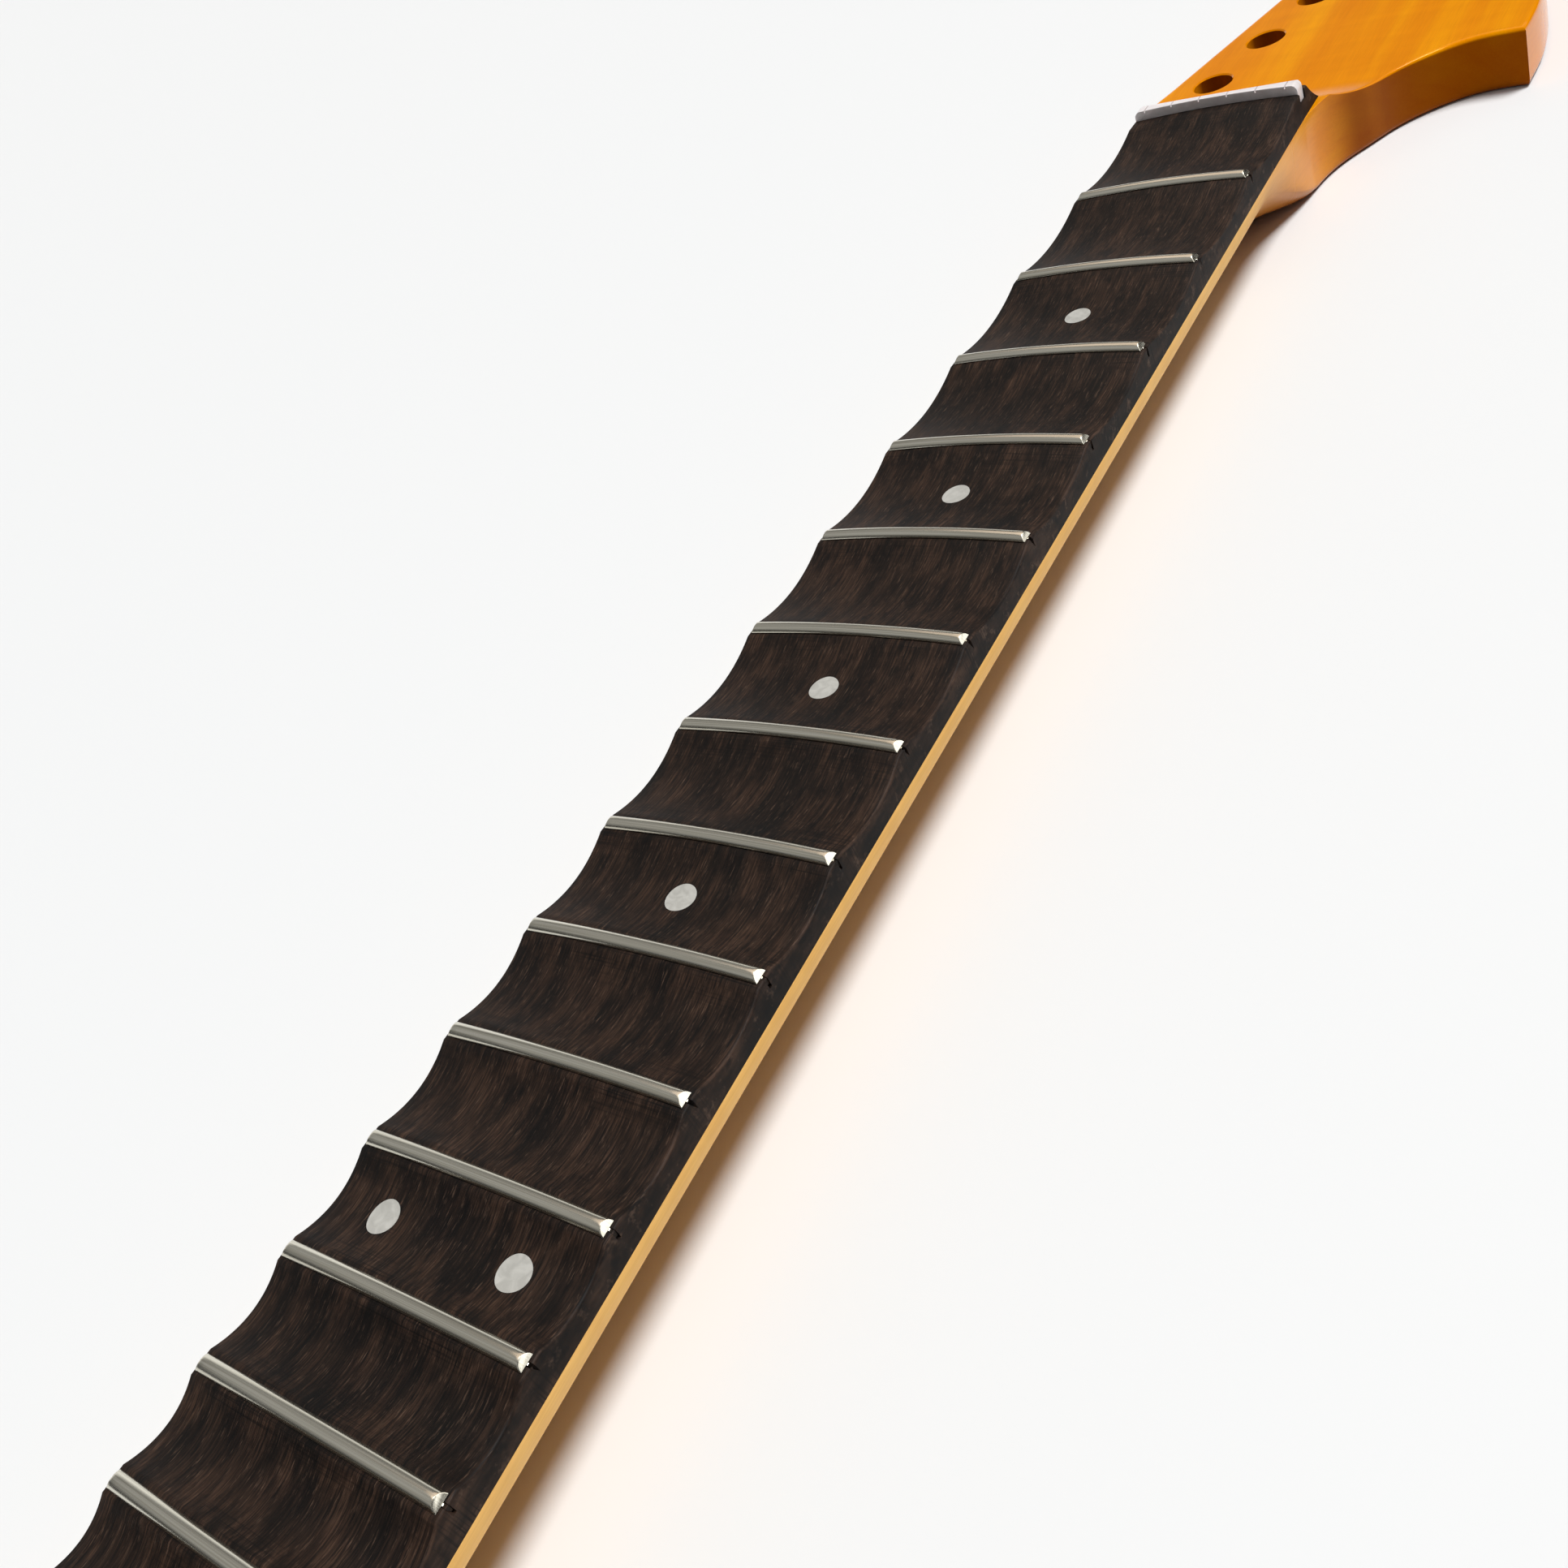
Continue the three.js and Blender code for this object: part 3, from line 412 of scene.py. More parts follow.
pearl, tree, surface = new_material("pearl_plastic", Roughness=0.3, IOR=1.49)
swirl = pattern(tree, 2.2 * MM, 2.2 * MM, Distortion=1.2)
pearl_tone = add(tree, RAMP, (swirl,), stops=[(0.35, "#A9A7A0"), (0.65, "#BBB9B2")])
tree.links.new(pearl_tone.outputs[0], surface.inputs["Base Color"])
print("bone and pearl ready")

# %% [markdown]
# Shapes come in two ways. What follows a rule or repeats is made by Geometry Nodes: a tree with named inputs
# for its sizes runs once on an object, and its result is kept as a plain mesh. What is drawn is made as
# rings of points joined into a skin, a loft. Holes are then cut with the Boolean modifier.

# %% Shape helpers
SMOOTH_BELOW = math.radians(32)


def new_object(name, mesh):
    piece = bpy.data.objects.new(name, mesh)
    scene.collection.objects.link(piece)
    return piece


def keep_result(piece, smooth_below=SMOOTH_BELOW):
    """Turns an object with live modifiers into a plain mesh, smooth except at its real edges."""
    graph = bpy.context.evaluated_depsgraph_get()
    mesh = bpy.data.meshes.new_from_object(piece.evaluated_get(graph), depsgraph=graph)
    piece.modifiers.clear()
    piece.data = mesh
    mesh.name = piece.name
    mesh.shade_smooth()
    mesh.set_sharp_from_angle(angle=smooth_below)
    return piece


def skin(rings):
    """Points and faces of a closed skin over rings with equal counts, filled at both ends."""
    count = len(rings[0])
    points = [tuple(p) for ring in rings for p in ring]
    faces = []
    for i in range(len(rings) - 1):
        for j in range(count):
            a, b = i * count + j, i * count + (j + 1) % count
            faces.append((a, b, b + count, a + count))
    last = (len(rings) - 1) * count
    faces.append(tuple(range(count))[::-1])
    faces.append(tuple(range(last, last + count)))
    return points, faces


def mesh_of(name, parts):
    """One mesh from several closed skins, with every face turned outwards."""
    mesh = bpy.data.meshes.new(name)
    points, faces = [], []
    for part_points, part_faces in parts:
        start = len(points)
        points += part_points
        faces += [tuple(i + start for i in face) for face in part_faces]
    mesh.from_pydata(points, [], faces)
    made = bmesh.new()
    made.from_mesh(mesh)
    bmesh.ops.recalc_face_normals(made, faces=made.faces)
    made.to_mesh(mesh)
    made.free()
    return mesh


def cut(piece, name, parts):
    """Cuts closed skins out of a piece with a Boolean modifier."""
    cutter = new_object(name, mesh_of(name, parts))
    modifier = piece.modifiers.new(name, "BOOLEAN")
    modifier.object = cutter
    modifier.operation = "DIFFERENCE"
    modifier.solver = "MANIFOLD"
    keep_result(piece)
    bpy.data.objects.remove(cutter)


def one_material(piece, material):
    """Gives every face of a piece the same material, cut faces too."""
    piece.data.materials.clear()
    piece.data.materials.append(material)
    piece.data.polygons.foreach_set("material_index", [0] * len(piece.data.polygons))


def prism(outline, along):
    """A closed skin that runs from an outline of points by the vector along."""
    return skin([outline, [p + along for p in outline]])


def circle(centre, radius, right, up, sides):
    """Points round a circle in the plane of two directions."""
    turns = [2 * math.pi * i / sides for i in range(sides)]
    return [centre + right * (radius * math.cos(t)) + up * (radius * math.sin(t)) for t in turns]


X, Y, Z = Vector((1, 0, 0)), Vector((0, 1, 0)), Vector((0, 0, 1))
print("helpers ready")

# %% [markdown]
# The neck is carved from one plank. Seen from above, its outline runs from the square heel along the tapered
# shaft, flares out behind the nut and goes round the headstock. The long sides follow rules. The flares and
# the headstock's free curves are smooth lines through a few drawn points, as a template maker would pin a
# bent lath. Each point is given as a share of a named size, across and along.

# %% Outline of the neck
HEEL_CORNER_RADIUS = 11 * MM
HEEL_FLAT_LENGTH = 76 * MM
HEEL_SCOOP_LENGTH = 34 * MM
BACK_BLEND_START = -29 * MM
BACK_BLEND_END = 3 * MM
CORNER_REACH = 60 * MM
FLARE_LENGTH = 39.5 * MM
HEAD_THICKNESS = 14.3 * MM
SCOOP_RADIUS = 27.1 * MM
SCOOP_END = 26.1 * MM
TUNER_COUNT = 6
TUNER_PITCH = 23.4 * MM
TUNER_ROW_LEAN = math.radians(17.2)
FIRST_TUNER = Vector((-16.4, 39.3)) * MM
TUNER_ROW_FROM_EDGE = 11.4 * MM

TREBLE_FLARE = [(0.012, 0.1), (0.045, 0.23), (0.1, 0.36), (0.19, 0.51), (0.31, 0.7), (0.45, 0.84),
                (0.617, 0.947), (0.78, 0.995), (1, 1)]
BASS_FLARE = [(0, 0.16), (0.17, 0.33), (0.49, 0.51), (0.84, 0.66), (0.985, 0.785)]
TREBLE_SIDE = [(1.002, 0.288), (0.98, 0.354), (0.938, 0.42), (0.882, 0.487), (0.828, 0.564), (0.798, 0.652),
               (0.79, 0.752), (0.78, 0.84), (0.752, 0.908), (0.688, 0.96), (0.6, 0.99), (0.51, 1)]
BASS_TIP = [(0.222, 0.947), (0.3, 0.977), (0.36, 0.993), (0.41, 1)]
BASS_TIP_START = 0.905
TREBLE_TIP_FROM = 8

heel_from_nut = nut_front - heel_end
head_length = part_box("neck")[1].y - nut_front
reach_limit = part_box("neck")[1].x


def spline(points, share):
    """A point on the smooth line through points, at a share of the way."""
    place = share * (len(points) - 1)
    i = min(int(place), len(points) - 2)
    t = place - i
    a, b, c, d = points[max(i - 1, 0)], points[i], points[i + 1], points[min(i + 2, len(points) - 1)]
    return b + t * ((c - a) / 2 + t * ((2 * a - 5 * b + 4 * c - d) / 2 + t * (3 * b - a - 3 * c + d) / 2))


def share_at(points, y):
    """The share of a smooth line at which it reaches the height y."""
    low, high = 0, 1
    while high - low > 1e-6:
        half_way = (low + high) / 2
        low, high = (half_way, high) if spline(points, half_way).y < y else (low, half_way)
    return low


def bass_edge(y):
    """The headstock's straight edge, beside the row of tuner holes."""
    edge = FIRST_TUNER.x - TUNER_ROW_FROM_EDGE / math.cos(TUNER_ROW_LEAN)
    return Vector((edge + (y - FIRST_TUNER.y) * math.tan(TUNER_ROW_LEAN), y))


def flare(side, shares, reach, extra):
    """The drawn points of one edge, from the nut outwards."""
    edge = side * half_width(0)
    drawn = [Vector((edge + across * (side * reach - edge), along * FLARE_LENGTH)) for across, along in shares]
    return [Vector((edge, 0)), *drawn, *extra]


def head_points(shares):
    """Points given as shares of the headstock's reach and length."""
    return [Vector((across * CORNER_REACH, along * head_length)) for across, along in shares]


bass_reach = -bass_edge(FLARE_LENGTH * BASS_FLARE[-1][1]).x
treble_flare = flare(1, TREBLE_FLARE, CORNER_REACH, [])
bass_flare = flare(-1, BASS_FLARE, bass_reach, [bass_edge(FLARE_LENGTH)])
treble_side = [Vector((CORNER_REACH, FLARE_LENGTH)), *head_points(TREBLE_SIDE)]
bass_tip = [bass_edge(BASS_TIP_START * head_length), *head_points(BASS_TIP)]


def scoop_level(y):
    """Height of the scooped step between the board's end and the headstock's face."""
    run = max(SCOOP_END - y, 0)
    return HEAD_THICKNESS + SCOOP_RADIUS - math.sqrt(SCOOP_RADIUS ** 2 - run ** 2)


def scoop_place(level):
    """Where the scooped step has come down to a level."""
    rise = SCOOP_RADIUS - (level - HEAD_THICKNESS)
    return SCOOP_END - math.sqrt(SCOOP_RADIUS ** 2 - rise ** 2)


def steps(start, end, count):
    """Even steps from start to end, without the start itself."""
    return [start + (end - start) * (i + 1) / count for i in range(count)]


scoop_meets_glue = scoop_place(glue_level)
print("glue line ends", round(scoop_meets_glue / MM, 2), "mm behind the nut's front")

# %% [markdown]
# The plank is carved to a rounded back on the shaft and left flat under heel and headstock. One ring of points
# describes the section at each place, and rings run the whole length, so the carve melts into the flat parts
# as it does under a maker's spokeshave. A quarter round eases the edge of the headstock's face.

# %% Sections of the neck
WALL_POINTS, CORNER_POINTS, BACK_POINTS = 9, 12, 9
SECTION_POINTS = WALL_POINTS + CORNER_POINTS + BACK_POINTS
ROUNDNESS = 1.8
SHAFT_DEPTH_FIRST = 14.2 * MM
SHAFT_DEPTH_TWELFTH = 16.2 * MM
HEEL_EDGE_RADIUS = 1.6 * MM
HEAD_EDGE_RADIUS = 1.6 * MM
SHAFT_EDGE_EASE = 0.12 * MM
HEAD_EDGE_EASE = 1.1 * MM
EASE_POINTS = 6
FLAT_EDGE = 0.5 * MM
WELD = 0.001 * MM

heel_flat_end = HEEL_FLAT_LENGTH - heel_from_nut
heel_scoop_end = heel_flat_end + HEEL_SCOOP_LENGTH


def smooth_step(value, start, end):
    """From 0 to 1 between two places, easing in and out."""
    share = min(max((value - start) / (end - start), 0), 1)
    return share * share * (3 - 2 * share)


def mix(a, b, share):
    return a + (b - a) * share


def squareness(y):
    """0 on the carved shaft, 1 on the flat-backed heel and headstock."""
    heel = 1 - smooth_step(y, heel_flat_end, heel_scoop_end)
    return max(heel, smooth_step(y, BACK_BLEND_START, BACK_BLEND_END))


def wood_depth(y):
    """How thick the maple is under the glue line."""
    first = fret_distance(1)
    slope = (SHAFT_DEPTH_TWELFTH - SHAFT_DEPTH_FIRST) / (fret_distance(SEMITONES) - first)
    return mix(SHAFT_DEPTH_FIRST + slope * (-y - first), glue_level, squareness(y))


def carved_point(j, half, depth):
    """Inset and drop of a point on the rounded back."""
    turn = j / SECTION_POINTS * math.pi / 2
    share = 2 / ROUNDNESS
    return half * (1 - math.cos(turn) ** share), depth * math.sin(turn) ** share


def square_point(j, half, depth, radius):
    """The same for a flat back with a rounded corner."""
    if j <= WALL_POINTS:
        return 0, (depth - radius) * j / WALL_POINTS
    if j >= WALL_POINTS + CORNER_POINTS:
        return mix(radius, half, (j - WALL_POINTS - CORNER_POINTS) / BACK_POINTS), depth
    turn = (j - WALL_POINTS) / CORNER_POINTS * math.pi / 2
    return radius * (1 - math.cos(turn)), depth - radius * (1 - math.sin(turn))


def neck_ring(treble, bass, treble_in, bass_in):
    """The section between a point of the treble edge and one of the bass edge."""
    y = min(treble.y, bass.y)
    square = squareness(y)
    ease = mix(SHAFT_EDGE_EASE, HEAD_EDGE_EASE, smooth_step(y, SCOOP_END / 2, FLARE_LENGTH))
    top = scoop_level(y) if y > scoop_meets_glue else glue_level
    depth = top - ease - (glue_level - wood_depth(y))
    centre, half = (treble + bass) / 2, (treble - bass).length / 2
    radius = min(HEEL_EDGE_RADIUS if y < 0 else HEAD_EDGE_RADIUS, half / 2)

    def side(edge, inward):
        flat = edge + inward * (ease + FLAT_EDGE)
        points = [(flat.x, flat.y, top)]
        for i in range(EASE_POINTS):
            turn = i / EASE_POINTS * math.pi / 2
            plan = edge + inward * (ease * (1 - math.sin(turn)))
            points.append((plan.x, plan.y, top - ease * (1 - math.cos(turn))))
        for j in range(SECTION_POINTS + 1):
            carved, squared = carved_point(j, half, depth), square_point(j, half, depth, radius)
            inset, drop = mix(carved[0], squared[0], square), mix(carved[1], squared[1], square)
            near = min(inset, radius)
            plan = (edge + inward * near).lerp(centre, (inset - near) / (half - radius))
            points.append((plan.x, plan.y, top - ease - drop))
        return points

    return side(treble, treble_in) + side(bass, bass_in)[:-1][::-1]


print("section points:", 2 * (SECTION_POINTS + EASE_POINTS + 1) + 1)

# %% [markdown]
# Now the rings are set along the outline, close where it bends and wide where it runs straight, and joined
# into one skin. On the flare, the bass end of each ring runs ahead of the treble end, so that the rings don't
# cross at the corner where the treble edge turns out. Rings that would crowd that corner are left out.

# %% Neck blank
RINGS = {"heel corner": 16, "heel": 6, "heel scoop": 26, "shaft": 46, "to nut": 30, "behind nut": 14,
         "head scoop": 28, "flare": 36, "head side": 44, "head tip": 28}


def heel_pair(turn):
    y = HEEL_CORNER_RADIUS * (1 - math.cos(turn)) - heel_from_nut
    half = half_width(-y) - HEEL_CORNER_RADIUS * (1 - math.sin(turn))
    return Vector((half, y)), Vector((-half, y))


def shaft_pair(y):
    return Vector((half_width(-y), y)), Vector((-half_width(-y), y))


def flare_pair(y):
    return spline(treble_flare, share_at(treble_flare, y)), spline(bass_flare, share_at(bass_flare, y))


def curve_pairs(treble, bass, treble_range, bass_range, count):
    """Pairs at even shares of two drawn edges."""
    shares = zip(steps(*treble_range, count), steps(*bass_range, count))
    return [(spline(treble, one), spline(bass, two)) for one, two in shares]


def inward(points, side):
    """At each point the step that moves the edge inwards by one unit."""
    result = [Vector((-side, 0))]
    for before, here, after in zip(points, points[1:], points[2:]):
        one, two = (here - before).normalized(), (after - here).normalized()
        across = Vector((-(one.y + two.y), one.x + two.x)) * side
        result.append(across / (1 + one.dot(two)))
    return result + [Vector((-side, 0))]


lead = HEAD_EDGE_EASE + FLAT_EDGE
bass_straight = [bass_edge(FLARE_LENGTH + lead), bass_tip[0]]
tip_share = TREBLE_TIP_FROM / len(TREBLE_SIDE)
pairs = [heel_pair(0)]
for pair_at, start, end, stretch in (
        (heel_pair, 0, math.pi / 2, "heel corner"),
        (shaft_pair, HEEL_CORNER_RADIUS - heel_from_nut, heel_flat_end, "heel"),
        (shaft_pair, heel_flat_end, heel_scoop_end, "heel scoop"),
        (shaft_pair, heel_scoop_end, BACK_BLEND_START, "shaft"),
        (shaft_pair, BACK_BLEND_START, 0, "to nut"),
        (flare_pair, 0, scoop_meets_glue, "behind nut"),
        (flare_pair, scoop_meets_glue, SCOOP_END, "head scoop")):
    pairs += [pair_at(place) for place in steps(start, end, RINGS[stretch])]
flare_shares = steps(share_at(treble_flare, SCOOP_END), 1, RINGS["flare"])
for ahead, share in zip(steps(0, lead, RINGS["flare"]), flare_shares):
    treble = spline(treble_flare, share)
    y = treble.y + ahead
    pairs.append((treble, bass_edge(y) if y > FLARE_LENGTH else spline(bass_flare, share_at(bass_flare, y))))
pairs += curve_pairs(treble_side, bass_straight, (0, tip_share), (0, 1), RINGS["head side"])
pairs += curve_pairs(treble_side, bass_tip, (tip_share, 1), (0, 1), RINGS["head tip"])
corner = treble_flare[-1]
apart = [(one - corner).length for one, _ in pairs]
pairs = [pair for pair, gap in zip(pairs, apart) if gap < WELD or gap > lead]
pairs = [(Vector((min(one.x, reach_limit), one.y)), two) for one, two in pairs]
trebles, basses = [one for one, _ in pairs], [two for _, two in pairs]
rings = [neck_ring(*edges) for edges in zip(trebles, basses, inward(trebles, 1), inward(basses, -1))]
rings = [[Vector(p) + Vector((0, nut_front, 0)) for p in ring] for ring in rings]
neck = new_object("neck_wood", mesh_of("neck_wood", [skin(rings)]))
print("neck blank:", len(neck.data.vertices), "points")

# %% [markdown]
# The blank is drilled for six tuning machines, whose holes get a light chamfer from a countersink, and for
# the four neck screws. A router cuts the channel for the truss rod, and behind the nut a pocket with a
# rounded end, through which a hex key reaches the rod. Each cut is a Boolean with a cutter of that shape.

# %% Holes and channel
TUNER_HOLE_RADIUS = 5 * MM
TUNER_CHAMFER = 0.35 * MM
HOLE_SIDES = 72
PILOT_RADIUS = 1.6 * MM
PILOT_DEPTH = 16 * MM
SCREW_SPACING = Vector((38.1, 50.8)) * MM
CHANNEL_WIDTH = 6.4 * MM
CHANNEL_DEPTH = 9 * MM
CHANNEL_END_FROM_HEEL = 34 * MM
ROD_AXIS_DEPTH = 6 * MM
POCKET_HALF_WIDTH = 4.2 * MM
POCKET_START = -4.35 * MM
POCKET_RAMP_START = 12 * MM
POCKET_END = 30 * MM
POCKET_TIP = 0.05 * MM
POCKET_STEPS = 24
OVERRUN = 2 * MM


def turned(foot, axis, profile, sides):
    """A turned shape: rings about an axis, given as pairs of distance along it and radius."""
    right = axis.orthogonal().normalized()
    up = axis.cross(right)
    return skin([circle(foot + axis * along, radius, right, up, sides) for along, radius in profile])


def drilled(foot, axis, start, end, radius, sides):
    """A plain round bar between two distances along an axis."""
    return turned(foot, axis, [(start, radius), (end, radius)], sides)


def block(low, high):
    """A box between two corners."""
    corners = [(low[0], low[1]), (high[0], low[1]), (high[0], high[1]), (low[0], high[1])]
    return prism([Vector((x, y, low[2])) for x, y in corners], Vector((0, 0, high[2] - low[2])))


drill = [(-OVERRUN, TUNER_HOLE_RADIUS), (HEAD_THICKNESS - TUNER_CHAMFER, TUNER_HOLE_RADIUS),
         (HEAD_THICKNESS + OVERRUN, TUNER_HOLE_RADIUS + TUNER_CHAMFER + OVERRUN)]
row = Vector((math.sin(TUNER_ROW_LEAN), math.cos(TUNER_ROW_LEAN))) * TUNER_PITCH
tuner_feet = [Vector((0, nut_front, 0)) + (FIRST_TUNER + row * i).to_3d() for i in range(TUNER_COUNT)]
cut(neck, "tuner_drill", [turned(foot, Z, drill, HOLE_SIDES) for foot in tuner_feet])

pilot_feet = [Vector((x * SCREW_SPACING.x, y * SCREW_SPACING.y, 0)) / 2 for x in (-1, 1) for y in (-1, 1)]
pilots = [drilled(foot, Z, -OVERRUN, PILOT_DEPTH, PILOT_RADIUS, HOLE_SIDES // 3) for foot in pilot_feet]
cut(neck, "pilot_drill", pilots)

rod_level = glue_level - ROD_AXIS_DEPTH
channel_end = heel_end + CHANNEL_END_FROM_HEEL
channel_low = (-CHANNEL_WIDTH / 2, channel_end, glue_level - CHANNEL_DEPTH)
cut(neck, "rod_channel", [block(channel_low, (CHANNEL_WIDTH / 2, nut_front, glue_level + OVERRUN))])

pocket_floor = rod_level - POCKET_HALF_WIDTH
pocket_top = glue_level + OVERRUN
round_start = POCKET_END - POCKET_HALF_WIDTH
ramp = (HEAD_THICKNESS - pocket_floor) / (POCKET_END - POCKET_RAMP_START)
pocket_rings = []
for y in [POCKET_START, *steps(POCKET_RAMP_START, POCKET_END - POCKET_TIP, POCKET_STEPS)]:
    past = max(y - round_start, 0)
    half = math.sqrt(POCKET_HALF_WIDTH ** 2 - past ** 2)
    floor = pocket_floor + ramp * max(y - POCKET_RAMP_START, 0)
    section = ((-half, floor), (half, floor), (half, pocket_top), (-half, pocket_top))
    pocket_rings.append([Vector((x, nut_front + y, z)) for x, z in section])
cut(neck, "key_pocket", [skin(pocket_rings)])
one_material(neck, maple)
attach(neck, "neck_assembly")
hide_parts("neck")
print("neck:", len(neck.data.polygons), "faces, box", [round(x / MM, 2) for x in neck.dimensions])

# %% [markdown]
# The fingerboard's top follows one rule from end to end, so Geometry Nodes make it, with the real sizes as
# the tree's inputs. Small trees hold the rules that board, frets and markers share: where a fret lies, how
# wide the board is there, and how deep the scoop between two frets has sunk at any distance. A rule is
# written as rows, as in a spreadsheet: each row names a result, says what is done and lists what goes in.

# %% Rules as small node trees
RULE_SIZES = {
    "Scale Length": SCALE_LENGTH, "Semitones": float(SEMITONES), "Fret Count": float(FRET_COUNT),
    "Nut Width": NUT_WIDTH, "Twelfth Fret Width": TWELFTH_FRET_WIDTH, "Board Radius": BOARD_RADIUS,
    "Scallop Depth": SCALLOP_DEPTH, "Fret Land": FRET_LAND, "Nut Land": NUT_LAND,
    "Nut Front": nut_front, "Crown Level": crown_level, "Glue Level": glue_level,
}
SOCKETS = {float: "NodeSocketFloat", int: "NodeSocketInt", str: "NodeSocketGeometry",
           bpy.types.Material: "NodeSocketMaterial"}
SPLIT, JOIN = "ShaderNodeSeparateXYZ", "ShaderNodeCombineXYZ"


def new_tree(name, inputs, outputs):
    """A node tree whose inputs are some of its own and the shared sizes. Returns it with its inputs by name."""
    tree = bpy.data.node_groups.new(name, "GeometryNodeTree")
    for way, sockets in (("INPUT", {**inputs, **RULE_SIZES}), ("OUTPUT", outputs)):
        for key, value in sockets.items():
            tree.interface.new_socket(key, in_out=way, socket_type=SOCKETS[type(value)])
    return tree, {socket.name: socket for socket in add(tree, "NodeGroupInput").outputs}


def work_out(tree, known, rows):
    """Adds a node for each row: its result's name, a node kind, rule or sum, and what goes in."""
    for name, done, *values in rows:
        values = [known.get(value, value) if isinstance(value, str) else value for value in values]
        if isinstance(done, bpy.types.NodeTree):
            node = add(tree, GROUP, values + [known[key] for key in RULE_SIZES], node_tree=done)
        else:
            node = add(tree, done, values) if "Node" in done else add(tree, MATH, values, done)
        known.update({f"{name} {socket.name}": socket for socket in node.outputs})
        if node.outputs:
            known[name] = node.outputs[0]


fret_rule, known = new_tree("fret_distance", {"Number": 0.0}, {"Distance": 0.0})
work_out(fret_rule, known, [
    ("octaves", "DIVIDE", "Number", "Semitones"),
    ("halved", "POWER", 0.5, "octaves"),
    ("gone", "SUBTRACT", 1, "halved"),
    ("distance", "MULTIPLY", "gone", "Scale Length"),
    ("out", "NodeGroupOutput", "distance"),
])

width_rule, known = new_tree("half_width", {"Distance": 0.0}, {"Half": 0.0})
work_out(width_rule, known, [
    ("twelfth", fret_rule, "Semitones"),
    ("wider", "SUBTRACT", "Twelfth Fret Width", "Nut Width"),
    ("taper", "DIVIDE", "wider", "twelfth"),
    ("past nut", "MAXIMUM", "Distance", 0),
    ("whole", "MULTIPLY_ADD", "taper", "past nut", "Nut Width"),
    ("half", "MULTIPLY", "whole", 0.5),
    ("out", "NodeGroupOutput", "half"),
])
print("rules:", fret_rule.name, width_rule.name)

# %% [markdown]
# The scoop's rule turns a distance back into a fret number by a logarithm, finds the two lands that stay for
# the fret wire, and lays a parabola between them. Before the nut and past the last fret nothing is scooped.
# The surface rule then takes that and the round of the board off the crown level.

# %% Scoop and surface rules
scoop_rule, known = new_tree("scoop_drop", {"Distance": 0.0}, {"Drop": 0.0})
work_out(scoop_rule, known, [
    ("gone", "DIVIDE", "Distance", "Scale Length"),
    ("left", "SUBTRACT", 1, "gone"),
    ("octaves", "LOGARITHM", "left", 0.5),
    ("number", "MULTIPLY", "octaves", "Semitones"),
    ("before", "FLOOR", "number"),
    ("after", "ADD", "before", 1),
    ("near", fret_rule, "before"),
    ("far", fret_rule, "after"),
    ("at nut", "LESS_THAN", "before", 0.5),
    ("land", RANGE, "at nut", 0, 1, "Fret Land", "Nut Land"),
    ("start", "ADD", "near", "land"),
    ("end", "SUBTRACT", "far", "Fret Land"),
    ("across", RANGE, "Distance", "start", "end", -1, 1),
    ("squared", "MULTIPLY", "across", "across"),
    ("sunk", "SUBTRACT", 1, "squared"),
    ("past nut", "GREATER_THAN", "before", -0.5),
    ("last", "SUBTRACT", "Fret Count", 0.5),
    ("in frets", "LESS_THAN", "before", "last"),
    ("scooped", "MULTIPLY", "past nut", "in frets"),
    ("deep", "MULTIPLY", "sunk", "Scallop Depth"),
    ("drop", "MULTIPLY", "deep", "scooped"),
    ("out", "NodeGroupOutput", "drop"),
])

surface_rule, known = new_tree("board_surface", {"Across": 0.0, "Distance": 0.0}, {"Level": 0.0, "Crown": 0.0})
work_out(surface_rule, known, [
    ("drop", scoop_rule, "Distance"),
    ("run", "MULTIPLY", "Across", "Across"),
    ("rise", "MULTIPLY", "Board Radius", "Board Radius"),
    ("rise", "SUBTRACT", "rise", "run"),
    ("rise", "SQRT", "rise"),
    ("fall", "SUBTRACT", "Board Radius", "rise"),
    ("crown", "SUBTRACT", "Crown Level", "fall"),
    ("level", "SUBTRACT", "crown", "drop"),
    ("out", "NodeGroupOutput", "level", "crown"),
])


def run_tree(piece, tree, values):
    """Runs a tree on an object with its inputs set by their identifiers, and keeps the result as a mesh."""
    modifier = piece.modifiers.new(tree.name, "NODES")
    modifier.node_group = tree
    names = {item.name: item.identifier for item in tree.interface.items_tree if item.in_out == "INPUT"}
    for key, value in {**values, **RULE_SIZES}.items():
        modifier[names[key]] = value
    return keep_result(piece)


print("rules:", scoop_rule.name, surface_rule.name)

# %% [markdown]
# The board starts as a flat grid with the same number of rows in every space between two frets. Each row
# looks up its distance from the nut: one step of land, the steps of the scoop, and one step of land again.

# %% Fingerboard, along
ROWS_A_SPACE = 24
COLUMNS = 32
EDGE_COLUMNS = 5
EDGE_ROUND = 0.45 * MM
TAIL = 12.2 * MM

